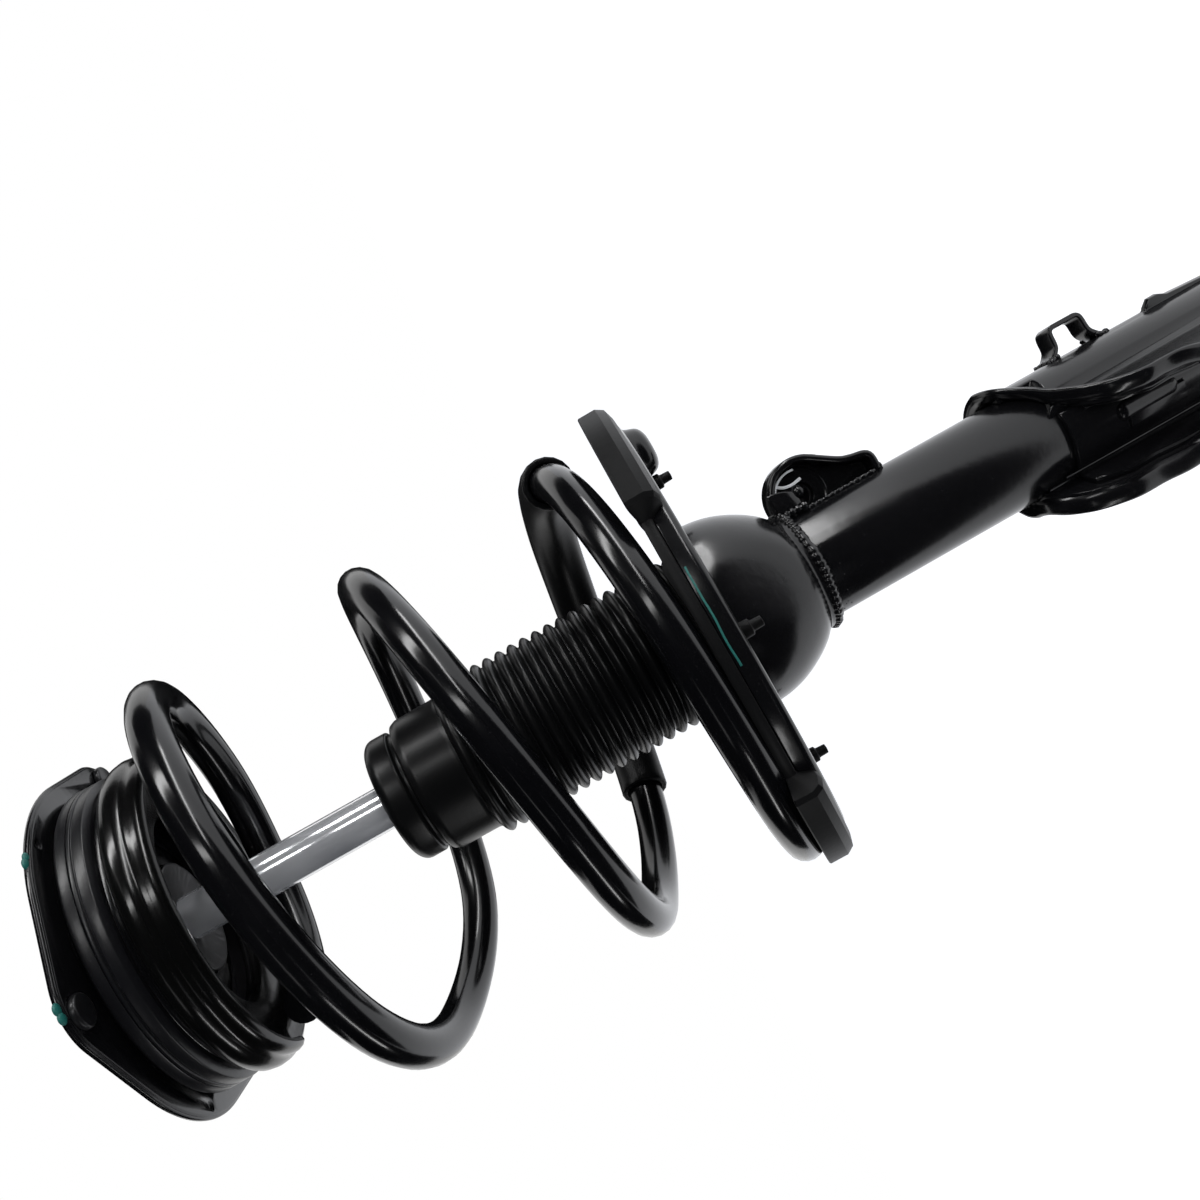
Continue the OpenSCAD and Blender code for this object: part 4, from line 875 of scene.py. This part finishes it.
# %% Green paint
dabs = []
for x, y, z in ((55.0, -57.0, -2.0), (53.0, -59.4, -1.9), (-2.4, -91.0, -2.1), (1.2, -90.8, -1.9)):
    dab = ball_at(turned(x, y, z), 2.6, 20, 10)
    for vertex in dab.data.vertices:
        vertex.co.z = between(z, vertex.co.z / MM, 0.45) * MM
    dabs.append(dab)
fitted(joined(dabs, "plate_mark"), "top_mount", "black_paint", finish="green_mark", smooth=50)

line = lathe("rim_mark", rounded([(PAN_R - 0.3, 3.3), (PAN_R + 0.12, 3.3), (PAN_R + 0.22, 3.75), (PAN_R + 0.12, 4.2),
                                  (PAN_R - 0.3, 4.2)], 0.2, 2), steps=40, start=-94.5, turn=23.5)
for vertex in line.data.vertices:
    vertex.co.z += noise.noise(vertex.co * 90) * 0.5 * MM
in_place(line, SEAT)
fitted(line, "strut_body", "black_paint", finish="green_mark", smooth=40)

# %% [markdown]
# ## Brackets on the tube
#
# The hose bracket is one strip of sheet, folded up to a bridge, with feet that flare out to be
# welded down. Sheet folds with a radius, so the strip's section is carried along a path with
# round corners. The hole for the hose clip is then cut through its top.

# %% Hose bracket
Z_HOSE, HOSE_Y = -507.437, 3.5
half_path = [(28.6, 15.5), (29.4, 13.6), (31.0, 11.6), (33.5, 9.6), (36, 9.0), (39.6, 8.8), (42.0, 8.2),
             (43.2, 6.4), (43.3, 4), (43.3, 0)]
bridge = half_path + [(x, -z) for x, z in reversed(half_path[:-1])]
bridge = smooth_path([(x, HOSE_Y, z + Z_HOSE) for x, z in bridge], 0.8)
across = Vector((0, 1, 0))
frames = [(point, across, heading(bridge, i).cross(across)) for i, point in enumerate(bridge)]
hose = swept("hose_bridge", frames, [strip(13, 2.4, 0.7)] * len(frames))
start_clean()
bpy.ops.mesh.primitive_cylinder_add(vertices=48, radius=4.5 * MM, depth=8 * MM, rotation=(0, math.pi / 2, 0),
                                    location=Vector((43.3, HOSE_Y, Z_HOSE)) * MM)
drill = bpy.context.object
modified(hose, "BOOLEAN", operation="DIFFERENCE", solver="EXACT", object=drill)
bpy.data.objects.remove(drill)
in_place(hose, TURN_TO_SEAT)
fitted(hose, "strut_body", "black_paint", "hose_bracket", smooth=40)

# %% Welds of the hose bracket
beads = []
for side in (-1, 1):
    line = [Vector((28.9, 0.5 * k - 4, Z_HOSE + side * 15.4)) * MM for k in range(31)]
    beads.append(weld("foot_weld", line, 1.5, pitch=2.4, depth=0.3, seed=side + 5))
    for y in (-3.6, 10.6):
        line = [Vector((between(28.6, 30.0, k / 12), y, Z_HOSE + side * (15.6 - k * 0.42))) * MM for k in range(13)]
        beads.append(weld("foot_weld", line, 1.1, pitch=2.0, depth=0.2, seed=side + y))
beads = joined(beads, "hose_weld")
in_place(beads, TURN_TO_SEAT)
fitted(beads, "strut_body", "black_paint", smooth=60)

# %% [markdown]
# The stabiliser bracket is a pressed cup. Its wall ends in a rounded edge, the link seats on a
# ring in its floor, and a short tab closes the corner by the bell, where it is welded. The cup
# is the frame's own solid with rounded edges, and the rest is laid on it.

# %% Stabiliser bracket
LINK = Vector((31.5, 0, -356.437))
cup = soften("stabiliser_bracket", 0.6, join_flats=False)    # its floor and rim are faces with holes
fitted(cup, "strut_body", "black_paint", "stabiliser_bracket", smooth=40)

# %% Edge, link seat and tab of the cup
def rounds(first, step, count):
    return [math.radians(first + step * k) for k in range(count)]

rim_path = [Vector((16.3 * math.cos(a), 0, 16.3 * math.sin(a))) for a in rounds(112, -8, 19)]
rim_path += [Vector((u, 0, v)) for u, v in ((6.4, -20.4), (4.3, -26), (2.8, -33), (0.2, -35.4), (-5.2, -35.6))]
rim_path = [p + LINK + Vector((0, -6.1, 0)) for p in smooth_path(rim_path, 1.2)]
rim = tube_along("cup_rim", [p * MM for p in rim_path], 1.75, 16)
seat_ring = lathe("link_ring", rounded([(6.2, 0), (13.6, 0), (13.6, 0.9), (12.4, 1.5), (11.4, 0.9), (6.2, 0.9)],
                                       0.3, 3), steps=72)
in_place(seat_ring, Matrix.Translation((LINK + Vector((0, 3.6, 0))) * MM) @ Matrix.Rotation(math.pi / 2, 4, "X"))
TAB = ((32.6, 0, -339.6), (32.4, -0.3, -343), (31.8, -0.4, -347), (30.9, -0.2, -350.4), (30.3, 0.8, -352.0))
tab_frames = [(Vector((x, -6.6 + bend, z)), Vector((1, 0, 0.1)).normalized(), Vector((0, 1, 0))) for x, bend, z in TAB]
tab = swept("cup_tab", tab_frames, [strip(wide, 2.8, 0.8) for wide in (12, 12, 11, 9.5, 8)])
start_clean()
nub = ball_at(Vector((33.6, -5.6, -353.6)), 3.1, 24, 16)
print("cup details", [len(piece.data.polygons) for piece in (rim, seat_ring, tab, nub)])

# %% Welds of the cup
def seam(name, first, step, count, *sizes, **shape):
    return weld(name, [(Vector(first) + Vector(step) * k) * MM for k in range(count)], *sizes, **shape)

seams = [seam("cup_weld", (24.9, y, -342), (0, 0, -0.5), 96, 1.3, pitch=2.3, depth=0.22, seed=y) for y in (-6.9, 6.9)]
seams.append(seam("tab_weld", (26.6, -8.6, -342), (0, 0.02, -0.5), 24, 2.0, pitch=2.0, depth=0.5, seed=9))
seams.append(seam("tail_weld", (26.0, -5.5, -393.2), (0, 0.5, 0), 23, 1.5, pitch=2.2, depth=0.3, seed=3))
details = joined([rim, seat_ring, tab, nub] + seams, "stabiliser_details")
in_place(details, TURN_TO_SEAT)
fitted(details, "strut_body", "black_paint", smooth=50)

# %% [markdown]
# A thin arc and a stroke of pale paint on the cup's floor are another checker's mark. Marker
# paint stands a little proud and has round edges, so each is a thin bar half sunk in the floor.

# %% Pale paint mark
arc = [LINK + Vector((12.6 * math.cos(a), 1.6, 12.6 * math.sin(a))) for a in rounds(150, -5, 33)]
stroke = smooth_path([LINK + Vector(p) for p in ((8.8, 2.3, 8.6), (7.0, 2.3, 5.6), (6.4, 2.3, 1.4), (7.2, 2.3, -3.6))],
                     0.8)
paint = joined([tube_along("paint_ring", [p * MM for p in arc], 0.55, 8),
                tube_along("paint_stroke", [p * MM for p in stroke], 0.8, 8)], "checker_mark")
in_place(paint, TURN_TO_SEAT)
fitted(paint, "strut_body", "black_paint", finish="pale_mark", smooth=50)

# %% [markdown]
# ## Knuckle bracket
#
# Two pressings make the clevis. The outer one wraps the tube and its free edge is turned out
# into a lip that runs in one wave from ear to ear over the collar. The lip is a curved section
# carried along that edge, and the flat parts are the frame's solids with softened edges. The
# web between the ears has a raised bead, which stiffens it.

# %% Path of the lip
Z_COLLAR = -455.437
EAR = [(14, 2.4), (18, 3), (22, 2), (28, -0.5), (33, -4), (38, -9), (42, -16), (45.4, -26), (45.6, -39),
       (47.4, -53), (49.4, -70), (50.6, -82)]       # how far out from the axis, and how high over the collar

def ear_line(side, drop):
    share = (1, 1, 1, 1, 1, 0.95, 0.9, 0.85, 0.7, 0.5, 0.3, 0.15)
    return [(side * (26.4 - 4.6 * smooth_step(m, 47, 50.6)), -m, Z_COLLAR + z - drop * k)
            for (m, z), k in zip(EAR, share)]

upper_ear, lower_ear = ear_line(1, 22), ear_line(-1, 0)
edge = list(reversed(upper_ear[3:])) + [(27.8, -19.5, -470.6), (29.8, -14, -466.5), (31.6, -7, -461), (32.5, 2, -455.6)]
edge += [polar(32.5, a, -453.6) for a in rounds(24, 12, 13)]
edge += [(-32.4, -2, -453.2), (-31.2, -9, -453.0), (-28.2, -15.5, -452.8)] + lower_ear[2:]
edge = smooth_path(edge, 1.5)
print("lip path", len(edge), "points")

# %% Lip of the outer pressing
BEND_R, HALF_T = 4.2, 1.6
frames, sections = [], []
for i, point in enumerate(edge):
    along = heading(edge, i)
    radial = Vector((point.x, point.y, 0)).normalized()
    flat = Vector((math.copysign(1, point.x), 0, 0))
    ear = smooth_step(-point.y, 2, 24)
    out = radial * (1 - ear) + flat * ear
    out = (out - along * out.dot(along)).normalized()
    up = out.cross(along) if out.cross(along).z > 0 or point.z < -480 else along.cross(out)
    if up.dot(Vector((0, -1, 0)) * ear + Vector((0, 0, 1)) * (1 - 0.5 * ear)) < 0:
        up = -up
    frames.append((point, out, up))
    reach = between(5.6, 7.7, ear)
    bend = [(-reach + BEND_R - BEND_R * math.cos(a), -BEND_R + BEND_R * math.sin(a)) for a in rounds(15, 15, 6)]
    middle = [Vector(p) for p in [(-reach, -7.5), (-reach, -4.4)] + bend + [(-0.6, 0.35)]]
    sides = [Vector((-step.y, step.x)) * HALF_T for step in (heading(middle, k) for k in range(len(middle)))]
    left, right = [p + s for p, s in zip(middle, sides)], [p - s for p, s in zip(middle, sides)]
    sections.append(left + [(0.4, 1.5), (0.95, 0.4), (0.5, -0.8)] + right[::-1])
lip = swept("knuckle_lip", frames, sections)
fitted(lip, "strut_body", "black_paint", smooth=60)

# %% [markdown]
# The web's bead is pressed out of the sheet from behind, so it has round ends and runs out
# flat. A bar with a ball at each end is flattened for that. An edge line and a few shallow
# dimples, left by the press, give the flat web something to catch the light with.

# %% Bead, edge line and dimples of the web
BEAD_R, BEAD_LOW, BEAD_TOP = 4.6, -521, -497.5
start_clean()
bead_bar = tube_along("web_bead", [Vector((0, 0, z)) * MM for z in (BEAD_TOP, -503, -509, -515, BEAD_LOW)], BEAD_R, 32)
web_bead = joined([bead_bar] + [ball_at(Vector((0, 0, z)), BEAD_R, 32, 16) for z in (BEAD_TOP, BEAD_LOW)], "web_bead")
for vertex in web_bead.data.vertices:
    vertex.co.x = vertex.co.x * 0.62 + 28.0 * MM
in_place(web_bead, Matrix.Rotation(math.radians(-80.8), 4, "Z"))
edge_bar = tube_along("web_edge", [Vector((-11.5, -26.5, -461.5 - 5 * k)) * MM for k in range(30)], 0.75, 12)
dimples = [ball_at(Vector((x + 2.6, -33 + (z + 509) * 0.2, z)), 1.5, 16, 10)
           for x, z in ((-19.2, -505), (-19.2, -509), (-19.4, -514), (-19.2, -497), (-19.2, -524))]
web = joined([web_bead, edge_bar] + dimples, "web_bead")
fitted(web, "strut_body", "black_paint", smooth=60)

# %% [markdown]
# ## Pressed and turned steel
#
# The plate, the cup, the races and the clevis have the right shape in the frame already. Each
# is copied, its loose triangles are merged, and its sharp edges get a small bevel. The clevis's
# free edge is first drawn back, to make room for the swept lip.

# %% Frame solids with rounded edges
EAR_X, COLLAR_R, REAR_X = 20.7, 28.9, 29.1

def drawn_back(piece):
    for vertex in piece.data.vertices:
        x, y, z = vertex.co / MM
        radius = math.hypot(x, y)
        if x > REAR_X + 0.2 and y > -2 and z < -530:         # the rear lip, down to a low wave
            vertex.co.x = (REAR_X + (x - REAR_X) * between(0.9, 0.05, smooth_step(-z, 544, 562))) * MM
        elif z > -544 and abs(x) > EAR_X and y < -16:        # the ears
            vertex.co.x = math.copysign(EAR_X, x) * MM
        elif z > -480 and radius > 29 and y > -22:           # the collar
            vertex.co.x, vertex.co.y = x * COLLAR_R / radius * MM, y * COLLAR_R / radius * MM

for body, solids in (
        ("top_mount", dict(mount_plate=0.7, mount_nuts=0.4, bush_cup=0.8, rod_washer_lower=0.5, rod_nut=0.5)),
        ("strut_body", dict(knuckle_bracket_outer=0.8, knuckle_bracket_inner=0.7, link_nut=0.5, base_cap=0.6,
                            strut_tube=0.8)),
        ("top_mount", dict(bearing_upper_race=0.5)),
        ("upper_seat", dict(bearing_lower_race=0.4, upper_spring_seat=0.6)),
        ("top_mount", dict(rod_washer_upper=0.4))):
    for name, width in solids.items():
        piece = soften(name, width)
        if name == "knuckle_bracket_outer":
            drawn_back(piece)
        fitted(piece, body, slot_of[name], name, smooth=32)
